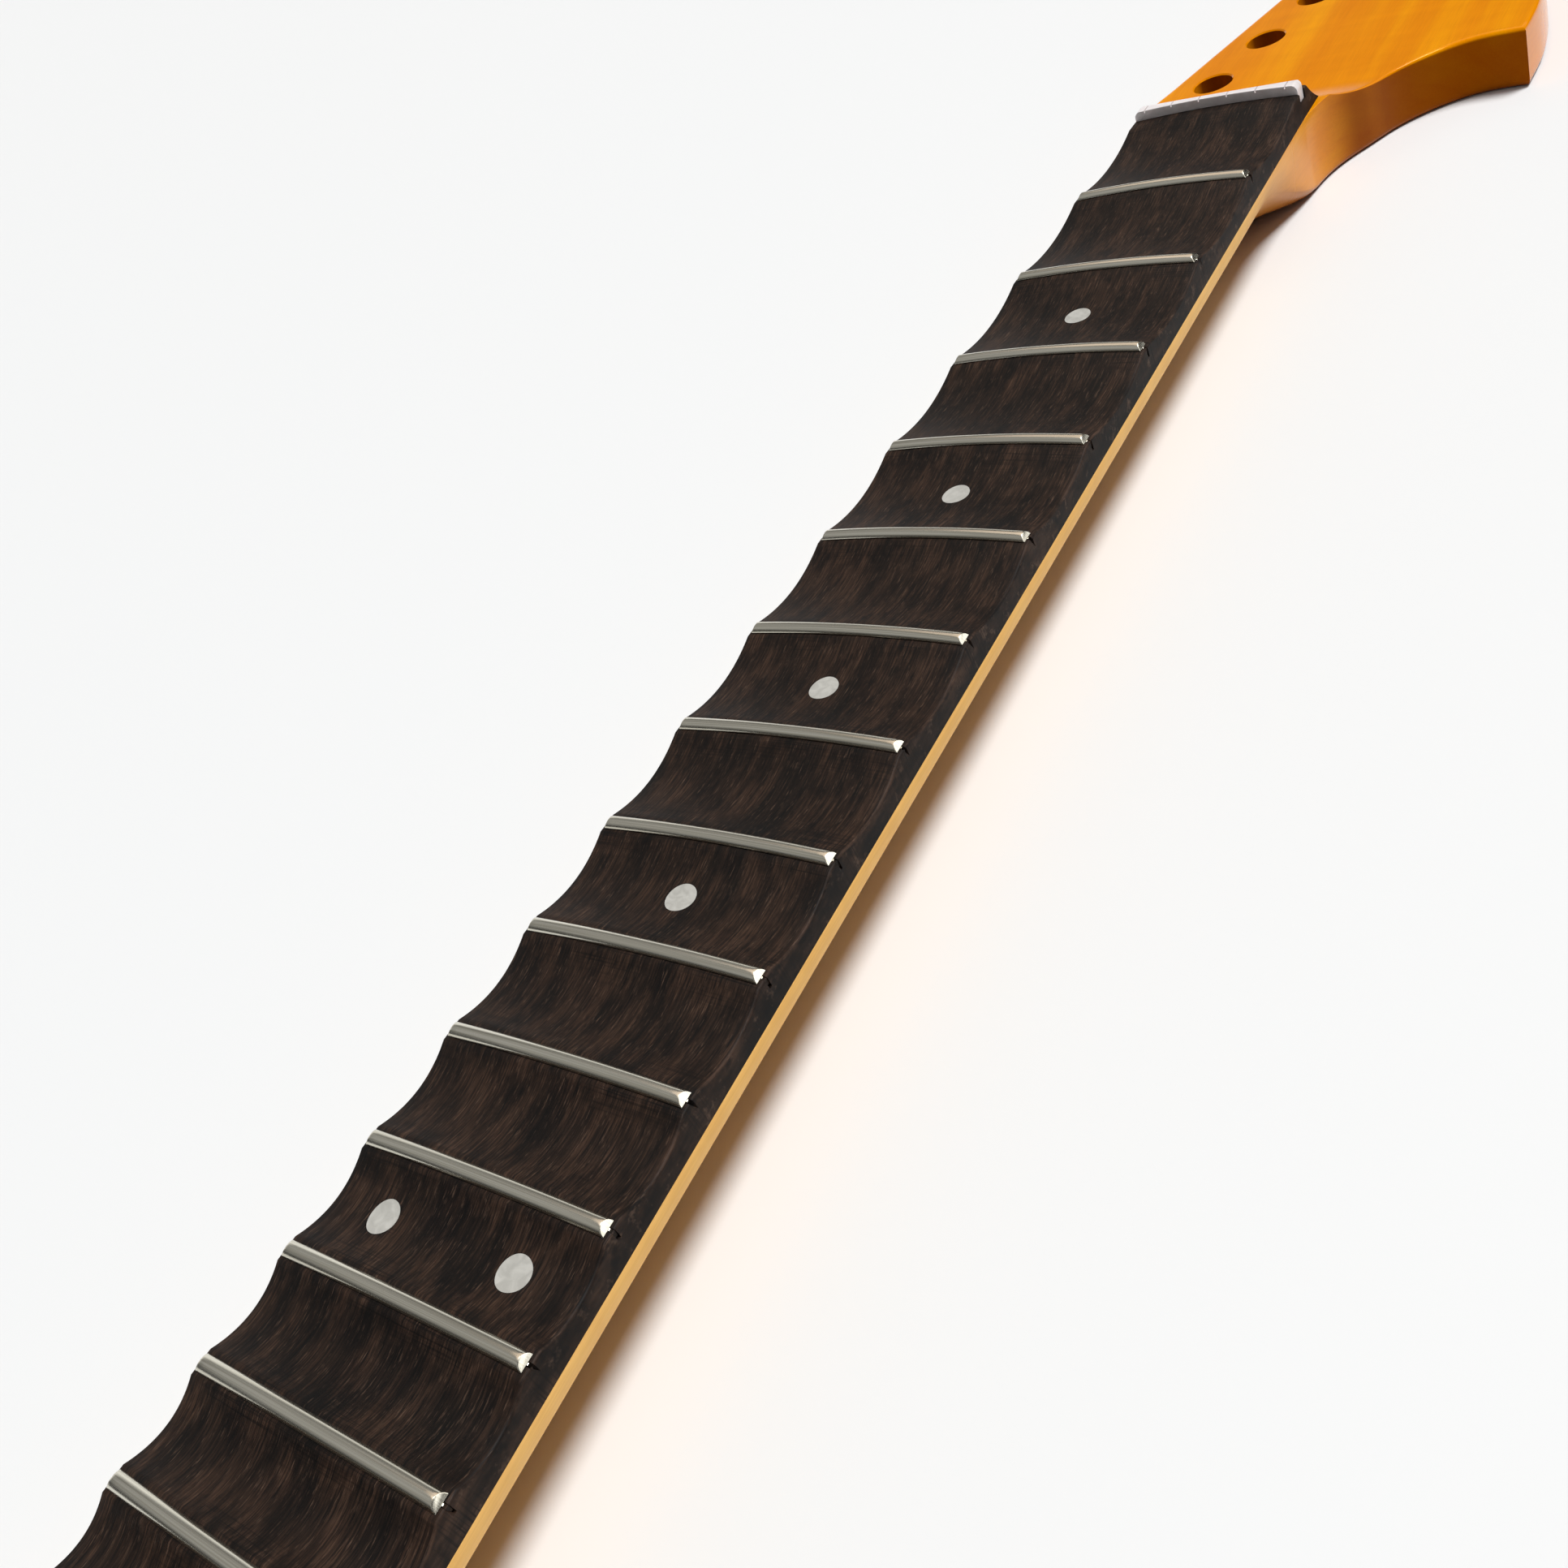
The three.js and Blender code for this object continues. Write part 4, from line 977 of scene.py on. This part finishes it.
board_inputs = {"Rows A Space": float(ROWS_A_SPACE), "Columns": float(COLUMNS),
                "Edge Columns": float(EDGE_COLUMNS), "Edge Round": EDGE_ROUND, "Tail": TAIL,
                "Board End": nut_front - board_end, "Wood": rosewood}
tree, known = new_tree("scalloped_board", board_inputs, {"Geometry": ""})
work_out(tree, known, [
    ("spaces", "ADD", "Fret Count", 2),
    ("rows", "MULTIPLY", "spaces", "Rows A Space"),
    ("row points", "ADD", "rows", 1),
    ("column points", "ADD", "Columns", 1),
    ("grid", "GeometryNodeMeshGrid", 1, 1, "column points", "row points"),
    ("place", "GeometryNodeInputPosition"),
    ("axes", SPLIT, "place"),
    ("row", "ADD", "axes Y", 0.5),
    ("row", "MULTIPLY", "row", "rows"),
    ("row", "ROUND", "row"),
    ("space", "DIVIDE", "row", "Rows A Space"),
    ("space", "FLOOR", "space"),
    ("step", "MODULO", "row", "Rows A Space"),
    ("fret before", "SUBTRACT", "space", 1),
    ("tail", "MULTIPLY", "Tail", -1),
    ("near", fret_rule, "fret before"),
    ("near", "ShaderNodeClamp", "near", "tail", "Board End"),
    ("far", fret_rule, "space"),
    ("far", "ShaderNodeClamp", "far", "tail", "Board End"),
    ("at nut", "LESS_THAN", "fret before", 0.5),
    ("land", RANGE, "at nut", 0, 1, "Fret Land", "Nut Land"),
    ("last step", "SUBTRACT", "Rows A Space", 1),
    ("on first", RANGE, "step", 0, 1),
    ("on scoop", RANGE, "step", 1, "last step"),
    ("start", "ADD", "near", "land"),
    ("end", "SUBTRACT", "far", "Fret Land"),
    ("scoop length", "SUBTRACT", "end", "start"),
    ("distance", "MULTIPLY_ADD", "on first", "land", "near"),
    ("distance", "MULTIPLY_ADD", "on scoop", "scoop length", "distance"),
])
print("board rows:", (FRET_COUNT + 2) * ROWS_A_SPACE)

# %% [markdown]
# Across the board, most columns share the flat width evenly, and the last few turn down in a quarter round, as
# an edge smoothed by long use does. The scoop's depth and the place on the edge are stored for the wood's
# finish, where the place on the edge sets paler wear and a painted highlight. The grid is the underside, and the
# same grid lifted to the surface rule is the top.

# %% Fingerboard, across
work_out(tree, known, [
    ("column", "ADD", "axes X", 0.5),
    ("column", "MULTIPLY", "column", "Columns"),
    ("column", "ROUND", "column"),
    ("opposite", "SUBTRACT", "Columns", "column"),
    ("from edge", "MINIMUM", "column", "opposite"),
    ("middle", "MULTIPLY", "Columns", 0.5),
    ("inner", RANGE, "from edge", "Edge Columns", "middle", 1, 0),
    ("turn", RANGE, "from edge", "Edge Columns", 0, 0, math.pi / 2),
    ("half", width_rule, "distance"),
    ("flat half", "SUBTRACT", "half", "Edge Round"),
    ("out", "SINE", "turn"),
    ("out", "MULTIPLY", "out", "Edge Round"),
    ("out", "MULTIPLY_ADD", "inner", "flat half", "out"),
    ("side", "SIGN", "axes X"),
    ("x", "MULTIPLY", "out", "side"),
    ("y", "SUBTRACT", "Nut Front", "distance"),
    ("surface", surface_rule, "x", "distance"),
    ("round off", "COSINE", "turn"),
    ("round off", "SUBTRACT", 1, "round off"),
    ("round off", "MULTIPLY", "round off", "Edge Round"),
    ("level", "SUBTRACT", "surface", "round off"),
    ("scoop", scoop_rule, "distance"),
    ("scoop", "DIVIDE", "scoop", "Scallop Depth"),
    # The place on the edge, highest in the middle of the round, sets paler wear and a painted highlight.
    ("worn", "MULTIPLY", "turn", 2),
    ("worn", "SINE", "worn"),
    ("flat place", JOIN, "x", "y", "Glue Level"),
])


def stored(tree, geometry, name, value):
    """Keeps a number at each point of a geometry, and gives the geometry and a way to read the number."""
    kept = add(tree, "GeometryNodeStoreNamedAttribute", {"Geometry": geometry, "Name": name, "Value": value},
               data_type="FLOAT", domain="POINT")
    return kept, add(tree, "GeometryNodeInputNamedAttribute", {"Name": name}, data_type="FLOAT").outputs[0]


kept = known["grid"]
for name in ("scoop", "worn", "level"):
    kept, number = stored(tree, kept, name, known[name])
underside = add(tree, "GeometryNodeSetPosition", {"Geometry": kept, "Position": known["flat place"]})
raised = add(tree, "GeometryNodeExtrudeMesh", {"Mesh": underside, "Offset": (0, 0, 1), "Offset Scale": MM,
                                               "Individual": False}, mode="FACES")
now = add(tree, SPLIT, (add(tree, "GeometryNodeInputPosition"),))
top_place = add(tree, JOIN, (now.outputs[0], now.outputs[1], number))
topped = add(tree, "GeometryNodeSetPosition", {"Geometry": raised, "Selection": raised.outputs["Top"],
                                               "Position": top_place})
flipped = add(tree, "GeometryNodeFlipFaces", (underside,))
joined = add(tree, "GeometryNodeJoinGeometry", (topped,))
tree.links.new(flipped.outputs[0], joined.inputs[0])
welded = add(tree, "GeometryNodeMergeByDistance", {"Geometry": joined, "Distance": WELD})
real = add(tree, "GeometryNodeRealizeInstances", (welded,))
finished = add(tree, "GeometryNodeSetMaterial", {"Geometry": real, "Material": known["Wood"]})
add(tree, "NodeGroupOutput", (finished,))

board = run_tree(new_object("fingerboard", bpy.data.meshes.new("fingerboard")), tree, board_inputs)
print("fingerboard:", len(board.data.polygons), "faces, box", [round(x / MM, 2) for x in board.dimensions])

# %% [markdown]
# A fine saw cuts a slot across the board for each fret, and a wider one for the nut. Behind the nut, the
# board's end is sanded round a drum together with the maple, so one cylinder shapes its slope. The markers
# sit in drilled pockets a hair wider than they are, which shows as a fine dark ring.

# %% Slots and pockets of the fingerboard
SLOT_WIDTH = 0.7 * MM
SLOT_DEPTH = 1.7 * MM
NUT_THICKNESS = 3.3 * MM
NUT_CLEARANCE = 0.05 * MM
NUT_SEAT_DEPTH = 3 * MM
DOT_RADIUS = 2.8 * MM
DOT_DEPTH = 1.5 * MM
DOT_CLEARANCE = 0.06 * MM
DOT_DRILL = 8 * MM
SIDE_DOT_RADIUS = 1 * MM
SIDE_DOT_DEPTH = 1.6 * MM
SIDE_DOT_HEIGHT = 2 * MM
SIDE_DOT_DRILL = 4 * MM
DOT_FRETS = [3, 5, 7, 9, 12, 15, 17, 19, 21]
DOUBLE_DOT_SPACING = 27.3 * MM
DOUBLE_SIDE_DOT_SPACING = 5 * MM
DOT_SIDES = 48
DRUM_SIDES = 240

wide = half_width(nut_front - board_end) + OVERRUN
slot_floor = crown_level - SLOT_DEPTH - cross_fall(half_width(nut_front - board_end))
slots = []
for number in range(1, FRET_COUNT + 1):
    y = nut_front - fret_distance(number)
    low, high = (-wide, y - SLOT_WIDTH / 2, slot_floor), (wide, y + SLOT_WIDTH / 2, crown_level + OVERRUN)
    slots.append(block(low, high))
cut(board, "fret_saw", slots)

nut_slot_width = NUT_THICKNESS + 2 * NUT_CLEARANCE
nut_floor = crown_level - NUT_SEAT_DEPTH
nut_slot_end = (wide, nut_front + nut_slot_width, crown_level + OVERRUN)
cut(board, "nut_saw", [block((-wide, nut_front, nut_floor), nut_slot_end)])

drum_axis = Vector((-wide, nut_front + SCOOP_END, HEAD_THICKNESS + SCOOP_RADIUS))
cut(board, "drum", [drilled(drum_axis, X, 0, 2 * wide, SCOOP_RADIUS, DRUM_SIDES)])


def between_frets(number):
    return (fret_distance(number) + fret_distance(number - 1)) / 2


dot_places, side_dot_places = [], []
for number in DOT_FRETS:
    middle = between_frets(number)
    double = number == SEMITONES
    dot_places += [(x, middle) for x in ((-DOUBLE_DOT_SPACING / 2, DOUBLE_DOT_SPACING / 2) if double else (0,))]
    apart = DOUBLE_SIDE_DOT_SPACING / 2 if double else 0
    side_dot_places += [middle - apart, middle + apart] if double else [middle]

pockets = []
for x, distance in dot_places:
    foot = Vector((x, nut_front - distance, crown_level - SCALLOP_DEPTH - cross_fall(x) - DOT_DEPTH))
    pockets.append(drilled(foot, Z, 0, DOT_DRILL, DOT_RADIUS + DOT_CLEARANCE, DOT_SIDES))
for distance in side_dot_places:
    foot = Vector((SIDE_DOT_DEPTH - half_width(distance), nut_front - distance, glue_level + SIDE_DOT_HEIGHT))
    pockets.append(drilled(foot, -X, 0, SIDE_DOT_DRILL, SIDE_DOT_RADIUS + DOT_CLEARANCE / 2, DOT_SIDES // 2))
cut(board, "marker_drill", pockets)
one_material(board, rosewood)
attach(board, "neck_assembly")
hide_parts("fretboard")
print("slotted fingerboard:", len(board.data.polygons), "faces,", len(dot_places + side_dot_places), "markers")

# %% [markdown]
# The markers are plugs that were glued in before the board was scooped, so their tops follow the scoop. A
# tree puts a disc on each marked point and then drops it onto the surface rule. The small ones on the bass
# side lie on their sides, flush with the edge, so there the same tree moves them across instead.

# %% Markers
DOT_RINGS = 6

dot_inputs = {"Points": "", "Radius": DOT_RADIUS, "Depth": DOT_DEPTH, "Sides": DOT_SIDES, "Rings": DOT_RINGS,
              "On The Side": 0.0, "Plastic": pearl}
tree, known = new_tree("inlaid_markers", dot_inputs, {"Geometry": ""})
disc = add(tree, "GeometryNodeMeshCylinder", {"Vertices": known["Sides"], "Fill Segments": known["Rings"],
                                              "Radius": known["Radius"], "Depth": known["Depth"]},
           fill_type="TRIANGLE_FAN")
tilt = add(tree, MATH, (known["On The Side"], -math.pi / 2), "MULTIPLY")
discs = add(tree, "GeometryNodeInstanceOnPoints", {"Points": known["Points"], "Instance": disc,
                                                   "Rotation": add(tree, JOIN, (0, tilt))})
real = add(tree, "GeometryNodeRealizeInstances", (discs,))
work_out(tree, known, [
    ("place", "GeometryNodeInputPosition"),
    ("place", SPLIT, "place"),
    ("distance", "SUBTRACT", "Nut Front", "place Y"),
    ("level", surface_rule, "place X", "distance"),
    ("drop", "SUBTRACT", "level", "Crown Level"),
    ("on top", "SUBTRACT", 1, "On The Side"),
    ("down", "MULTIPLY", "drop", "on top"),
    ("half", width_rule, "distance"),
    ("half", "MULTIPLY", "half", -1),
    ("aside", "MULTIPLY", "half", "On The Side"),
    ("shift", JOIN, "aside", 0, "down"),
])
laid = add(tree, "GeometryNodeSetPosition", {"Geometry": real, "Offset": known["shift"]})
finished = add(tree, "GeometryNodeSetMaterial", {"Geometry": laid, "Material": known["Plastic"]})
add(tree, "NodeGroupOutput", (finished,))

side_inputs = {"Radius": SIDE_DOT_RADIUS, "Depth": SIDE_DOT_DEPTH, "Sides": DOT_SIDES // 2, "Rings": 1,
               "On The Side": 1.0}
face_points = [(x, nut_front - distance, crown_level - DOT_DEPTH / 2) for x, distance in dot_places]
side_level = glue_level + SIDE_DOT_HEIGHT
side_points = [(SIDE_DOT_DEPTH / 2, nut_front - distance, side_level) for distance in side_dot_places]
for name, points, start, changed in (("face_markers", face_points, "dot_", {}),
                                     ("side_markers", side_points, "side_dot_", side_inputs)):
    mesh = bpy.data.meshes.new(name)
    mesh.from_pydata(points, [], [])
    values = {**dot_inputs, **changed}
    del values["Points"]
    markers = run_tree(new_object(name, mesh), tree, values)
    nodes = [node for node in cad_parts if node.startswith(start)]
    one_material(markers, pearl)
    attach(markers, "neck_assembly")
    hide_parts(*nodes)
    print(name, "replace", len(nodes), "nodes")

# %% [markdown]
# Fret wire has a round crown over a thin tang. It is bent to the board's radius, hammered into its slot and
# cut flush, and its ends are filed to a slope, which leaves a flat shaped like a half moon. What is left of
# the slot beside the tang is filled with rosewood dust and glue. The tree bends one line per fret by the
# rules, sweeps each profile along it, and then slopes the crown's two end rings.

# %% Frets
FRET_STEPS = 40
SEAT_GAP = 0.1 * MM
FRET_END_INSET = 0.7 * MM
FRET_END_ANGLE = math.radians(35)
TANG_THICKNESS = 0.5 * MM
TANG_DEPTH = 1.6 * MM
TANG_INSET = 0.58 * MM
FILLER_INSET = 0.12 * MM
FILLER_START = 0.3 * MM
CROWN_POINTS = 20
END_RINGS_FROM = 0.999

fret_inputs = {"Steps": FRET_STEPS, "Crown Width": CROWN_WIDTH, "Crown Height": CROWN_HEIGHT,
               "Crown Points": CROWN_POINTS, "Seat Gap": SEAT_GAP, "End Inset": FRET_END_INSET,
               "End Slope": math.tan(FRET_END_ANGLE), "Tang Thickness": TANG_THICKNESS, "Tang Depth": TANG_DEPTH,
               "Tang Inset": TANG_INSET, "Filler Width": SLOT_WIDTH, "Filler Inset": FILLER_INSET,
               "Filler Start": FILLER_START, "Metal": nickel_silver, "Filler": rosewood}
tree, known = new_tree("fret_wire", fret_inputs, {"Geometry": ""})
wires = add(tree, "GeometryNodeMeshLine", {"Count": known["Fret Count"]}, mode="OFFSET")
number = add(tree, MATH, (add(tree, "GeometryNodeInputIndex"), 1), "ADD")
numbered, known["number"] = stored(tree, wires, "fret", number)
line = add(tree, "GeometryNodeCurvePrimitiveLine", {"Start": (-1, 0, 0), "End": (1, 0, 0)}, mode="POINTS")
line = add(tree, "GeometryNodeResampleCurve", {"Curve": line, "Count": known["Steps"]}, mode="COUNT")
wires = add(tree, "GeometryNodeInstanceOnPoints", {"Points": numbered, "Instance": line})
wires = add(tree, "GeometryNodeRealizeInstances", (wires,))
share = add(tree, SPLIT, (add(tree, "GeometryNodeInputPosition"),))
wires, known["share"] = stored(tree, wires, "share", share)
work_out(tree, known, [
    ("distance", fret_rule, "number"),
    ("half", width_rule, "distance"),
    ("y", "SUBTRACT", "Nut Front", "distance"),
    ("base", "MULTIPLY", "Crown Width", 0.5),
    ("other base", "MULTIPLY", "base", -1),
    ("rise", "SUBTRACT", "Seat Gap", "Crown Height"),
    ("arc start", JOIN, "other base"),
    ("arc middle", JOIN, 0, "rise"),
    ("arc end", JOIN, "base"),
    ("tang middle", "MULTIPLY", "Tang Depth", 0.5),
    ("tang middle", JOIN, 0, "tang middle"),
    ("filler height", "SUBTRACT", "Tang Depth", "Filler Start"),
    ("filler middle", "MULTIPLY_ADD", "filler height", 0.5, "Filler Start"),
    ("filler middle", JOIN, 0, "filler middle"),
])
print("fret tree so far:", len(tree.nodes), "nodes")

# %% [markdown]
# Crown, tang and filler are three sweeps along the same rule, each with its own inset from the board's edge.
# A line along X sweeps a profile with its first axis backwards and its second one down, so the crown's arc is
# drawn hanging below its base. The filed slope moves the crown's end rings in by their height over the seat
# times the slope.

# %% Frets, sweeps
FRET_BEVEL = 0.1 * MM
BEVEL_OVER = math.radians(40)
FRET_SMOOTH_BELOW = math.radians(15)

arc = add(tree, "GeometryNodeCurveArc", {"Resolution": known["Crown Points"], "Start": known["arc start"],
                                         "Middle": known["arc middle"], "End": known["arc end"]}, mode="POINTS")
sections = [(add(tree, "GeometryNodeSetSplineCyclic", {"Geometry": arc, "Cyclic": True}), "End Inset", "Metal")]
for name, width, height, stuff in (("tang", "Tang Thickness", "Tang Depth", "Metal"),
                                   ("filler", "Filler Width", "filler height", "Filler")):
    box = add(tree, "GeometryNodeCurvePrimitiveQuadrilateral", {"Width": known[width], "Height": known[height]},
              mode="RECTANGLE")
    box = add(tree, "GeometryNodeTransform", {"Geometry": box, "Translation": known[name + " middle"]})
    sections.append((box, name.title() + " Inset", stuff))

sweeps = []
for section, inset, stuff in sections:
    work_out(tree, known, [
        ("reach", "SUBTRACT", "half", inset),
        ("x", "MULTIPLY", "share", "reach"),
        ("surface", surface_rule, "x", "distance"),
        ("seat", "ADD", "surface Crown", "Seat Gap"),
        ("bent", JOIN, "x", "y", "seat"),
    ])
    path = add(tree, "GeometryNodeSetPosition", {"Geometry": wires, "Position": known["bent"]})
    sweep = add(tree, "GeometryNodeCurveToMesh", {"Curve": path, "Profile Curve": section, "Fill Caps": True})
    sweeps.append(add(tree, "GeometryNodeSetMaterial", {"Geometry": sweep, "Material": known[stuff]}))

work_out(tree, known, [
    ("now", "GeometryNodeInputPosition"),
    ("now", SPLIT, "now"),
    ("surface", surface_rule, "now X", "distance"),
    ("height", "SUBTRACT", "now Z", "surface Crown"),
    ("height", "SUBTRACT", "height", "Seat Gap"),
    ("moved", "MULTIPLY", "height", "End Slope"),
    ("side", "SIGN", "share"),
    ("moved", "MULTIPLY", "moved", "side"),
    ("moved", "MULTIPLY", "moved", -1),
    ("offset", JOIN, "moved"),
    ("from middle", "ABSOLUTE", "share"),
    ("at end", "GREATER_THAN", "from middle", END_RINGS_FROM),
])
filed = add(tree, "GeometryNodeSetPosition", {"Geometry": sweeps[0], "Selection": known["at end"],
                                              "Offset": known["offset"]})
joined = add(tree, "GeometryNodeJoinGeometry", (filed,))
for sweep in sweeps[1:]:
    tree.links.new(sweep.outputs[0], joined.inputs[0])
add(tree, "NodeGroupOutput", (add(tree, "GeometryNodeRealizeInstances", (joined,)),))


def rounded(piece, width, segments, limit, smooth_below=SMOOTH_BELOW):
    """Rounds the edges of a piece that are sharper than a limit, and keeps the result."""
    bevel = piece.modifiers.new("edge_round", "BEVEL")
    bevel.width = width
    bevel.segments = segments
    bevel.limit_method = "ANGLE"
    bevel.angle_limit = limit
    return keep_result(piece, smooth_below)


frets = run_tree(new_object("frets", bpy.data.meshes.new("frets")), tree, fret_inputs)
rounded(frets, FRET_BEVEL, 2, BEVEL_OVER, FRET_SMOOTH_BELOW)
fret_nodes = [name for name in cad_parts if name.startswith("fret_")]
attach(frets, "neck_assembly")
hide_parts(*fret_nodes)
spans = [[round(value / MM, 2) for value in corner] for corner in (frets.bound_box[0], frets.bound_box[6])]
print("frets:", len(frets.data.polygons), "faces replace", len(fret_nodes), "nodes, from", *spans)

# %% [markdown]
# The nut is a small bar of bone that stands in its slot. Its ends are rounded, its top follows the board and
# falls away towards the headstock, and a gauged file cuts a notch for each string. A flat outline is pushed
# to its thickness, its edges are rounded, and the notches come last, so that they stay crisp.

# %% Nut
NUT_PROUD = 2.2 * MM
NUT_END_INSET = 0.35 * MM
NUT_CORNER_RADIUS = 1.6 * MM
NUT_BACK_SLOPE = 0.5
NUT_EDGE_ROUND = 0.32 * MM
NUT_EDGE_OVER = math.radians(35)
NUT_CORNER_START = -math.pi / 24
NUT_CORNER_POINTS = 13
NUT_TOP_POINTS = 16
STRING_COUNT = 6
STRING_SPREAD = 35 * MM
NOTCH_DEPTH = 0.55 * MM
NOTCH_WIDTH = 0.5 * MM
NOTCH_FLOOR_SHARE = 0.5

nut_half = half_width(0) - NUT_END_INSET
nut_top = crown_level + NUT_PROUD
nut_back = NUT_THICKNESS + NUT_CLEARANCE


def nut_outline():
    """The nut seen from the strings' end, from one foot round to the other."""
    shoulder = nut_half - NUT_CORNER_RADIUS
    points = [(nut_half, nut_floor)]
    for turn in steps(NUT_CORNER_START, math.pi / 2, NUT_CORNER_POINTS):
        x = shoulder + NUT_CORNER_RADIUS * math.cos(turn)
        points.append((x, nut_top - cross_fall(shoulder) - NUT_CORNER_RADIUS * (1 - math.sin(turn))))
    points += [(x, nut_top - cross_fall(x)) for x in steps(shoulder, 0, NUT_TOP_POINTS)]
    return points + [(-x, z) for x, z in points[-2::-1]]


outline = [Vector((x, nut_front + NUT_CLEARANCE, z)) for x, z in nut_outline()]
nut = new_object("bone_nut", mesh_of("bone_nut", [prism(outline, Y * NUT_THICKNESS)]))
ridge = nut_front + NUT_CLEARANCE + NUT_THICKNESS / 2
run = nut_back + OVERRUN - NUT_CLEARANCE - NUT_THICKNESS / 2
wedge = [(ridge, nut_top), (ridge + run, nut_top - NUT_BACK_SLOPE * run), (ridge + run, nut_top + OVERRUN),
         (ridge, nut_top + OVERRUN)]
cut(nut, "nut_back", [prism([Vector((-wide, y, z)) for y, z in wedge], X * (2 * wide))])
rounded(nut, NUT_EDGE_ROUND, 4, NUT_EDGE_OVER)
notches = []
for i in range(STRING_COUNT):
    x = STRING_SPREAD * (i / (STRING_COUNT - 1) - 0.5)
    floor = nut_top - cross_fall(x) - NOTCH_DEPTH
    top, narrow = nut_top + OVERRUN, NOTCH_WIDTH * NOTCH_FLOOR_SHARE / 2
    section = [(x - narrow, floor), (x + narrow, floor), (x + NOTCH_WIDTH / 2, top), (x - NOTCH_WIDTH / 2, top)]
    notches.append(prism([Vector((px, nut_front - OVERRUN, pz)) for px, pz in section], Y * 4 * OVERRUN))
cut(nut, "string_file", notches)
one_material(nut, bone)
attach(nut, "neck_assembly")
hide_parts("nut")
print("nut:", len(nut.data.polygons), "faces, size", [round(x / MM, 2) for x in nut.dimensions])

# %% [markdown]
# The truss rod counters the strings' pull. A steel rod runs in the channel under a flat bar, and its barrel
# at the headstock end has a hexagon socket for a key. The rod is the one part that turns, so it is a piece of
# its own, turned as on a lathe, with a chamfered mouth and a countersunk socket, and it rides its own body.

# %% Truss rod
ROD_RADIUS = 2.4 * MM
BARREL_RADIUS = 3.8 * MM
BARREL_START = -4.2 * MM
BARREL_LENGTH = 13 * MM
BARREL_CHAMFER = 0.45 * MM
ROD_CHAMFER = 0.3 * MM
COUNTERSINK_DEPTH = 0.5 * MM
COUNTERSINK_INSIDE = 0.3 * MM
SOCKET_ACROSS_FLATS = 4.75 * MM
SOCKET_DEPTH = 8 * MM
ROD_SIDES = 64
HEX_SIDES = 6

rod_foot = Vector((0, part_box("truss_rod")[0].y, rod_level))
barrel_start = nut_front + BARREL_START - rod_foot.y
barrel_end = barrel_start + BARREL_LENGTH
rod_profile = [(0, ROD_RADIUS - ROD_CHAMFER), (ROD_CHAMFER, ROD_RADIUS), (barrel_start, ROD_RADIUS),
               (barrel_start, BARREL_RADIUS - BARREL_CHAMFER), (barrel_start + BARREL_CHAMFER, BARREL_RADIUS),
               (barrel_end - BARREL_CHAMFER, BARREL_RADIUS), (barrel_end, BARREL_RADIUS - BARREL_CHAMFER)]
rod = new_object("adjusting_rod", mesh_of("adjusting_rod", [turned(rod_foot, Y, rod_profile, ROD_SIDES)]))
socket_radius = SOCKET_ACROSS_FLATS / 2 / math.cos(math.pi / HEX_SIDES)
mouth = rod_foot + Y * barrel_end
cut(rod, "hex_broach", [drilled(mouth, Y, -SOCKET_DEPTH, OVERRUN, socket_radius, HEX_SIDES)])
countersink = [(-COUNTERSINK_DEPTH, socket_radius - COUNTERSINK_INSIDE), (OVERRUN, socket_radius + OVERRUN)]
cut(rod, "countersink", [turned(mouth, Y, countersink, ROD_SIDES)])
one_material(rod, rod_steel)
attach(rod, "adjusting_rod")
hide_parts("truss_rod")
for name in ("truss_bar", "truss_head_block", "truss_heel_block"):
    one_material(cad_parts[name], rod_steel)
print("rod:", len(rod.data.polygons), "faces, barrel mouth at", round((mouth.y - nut_front) / MM, 2), "mm")
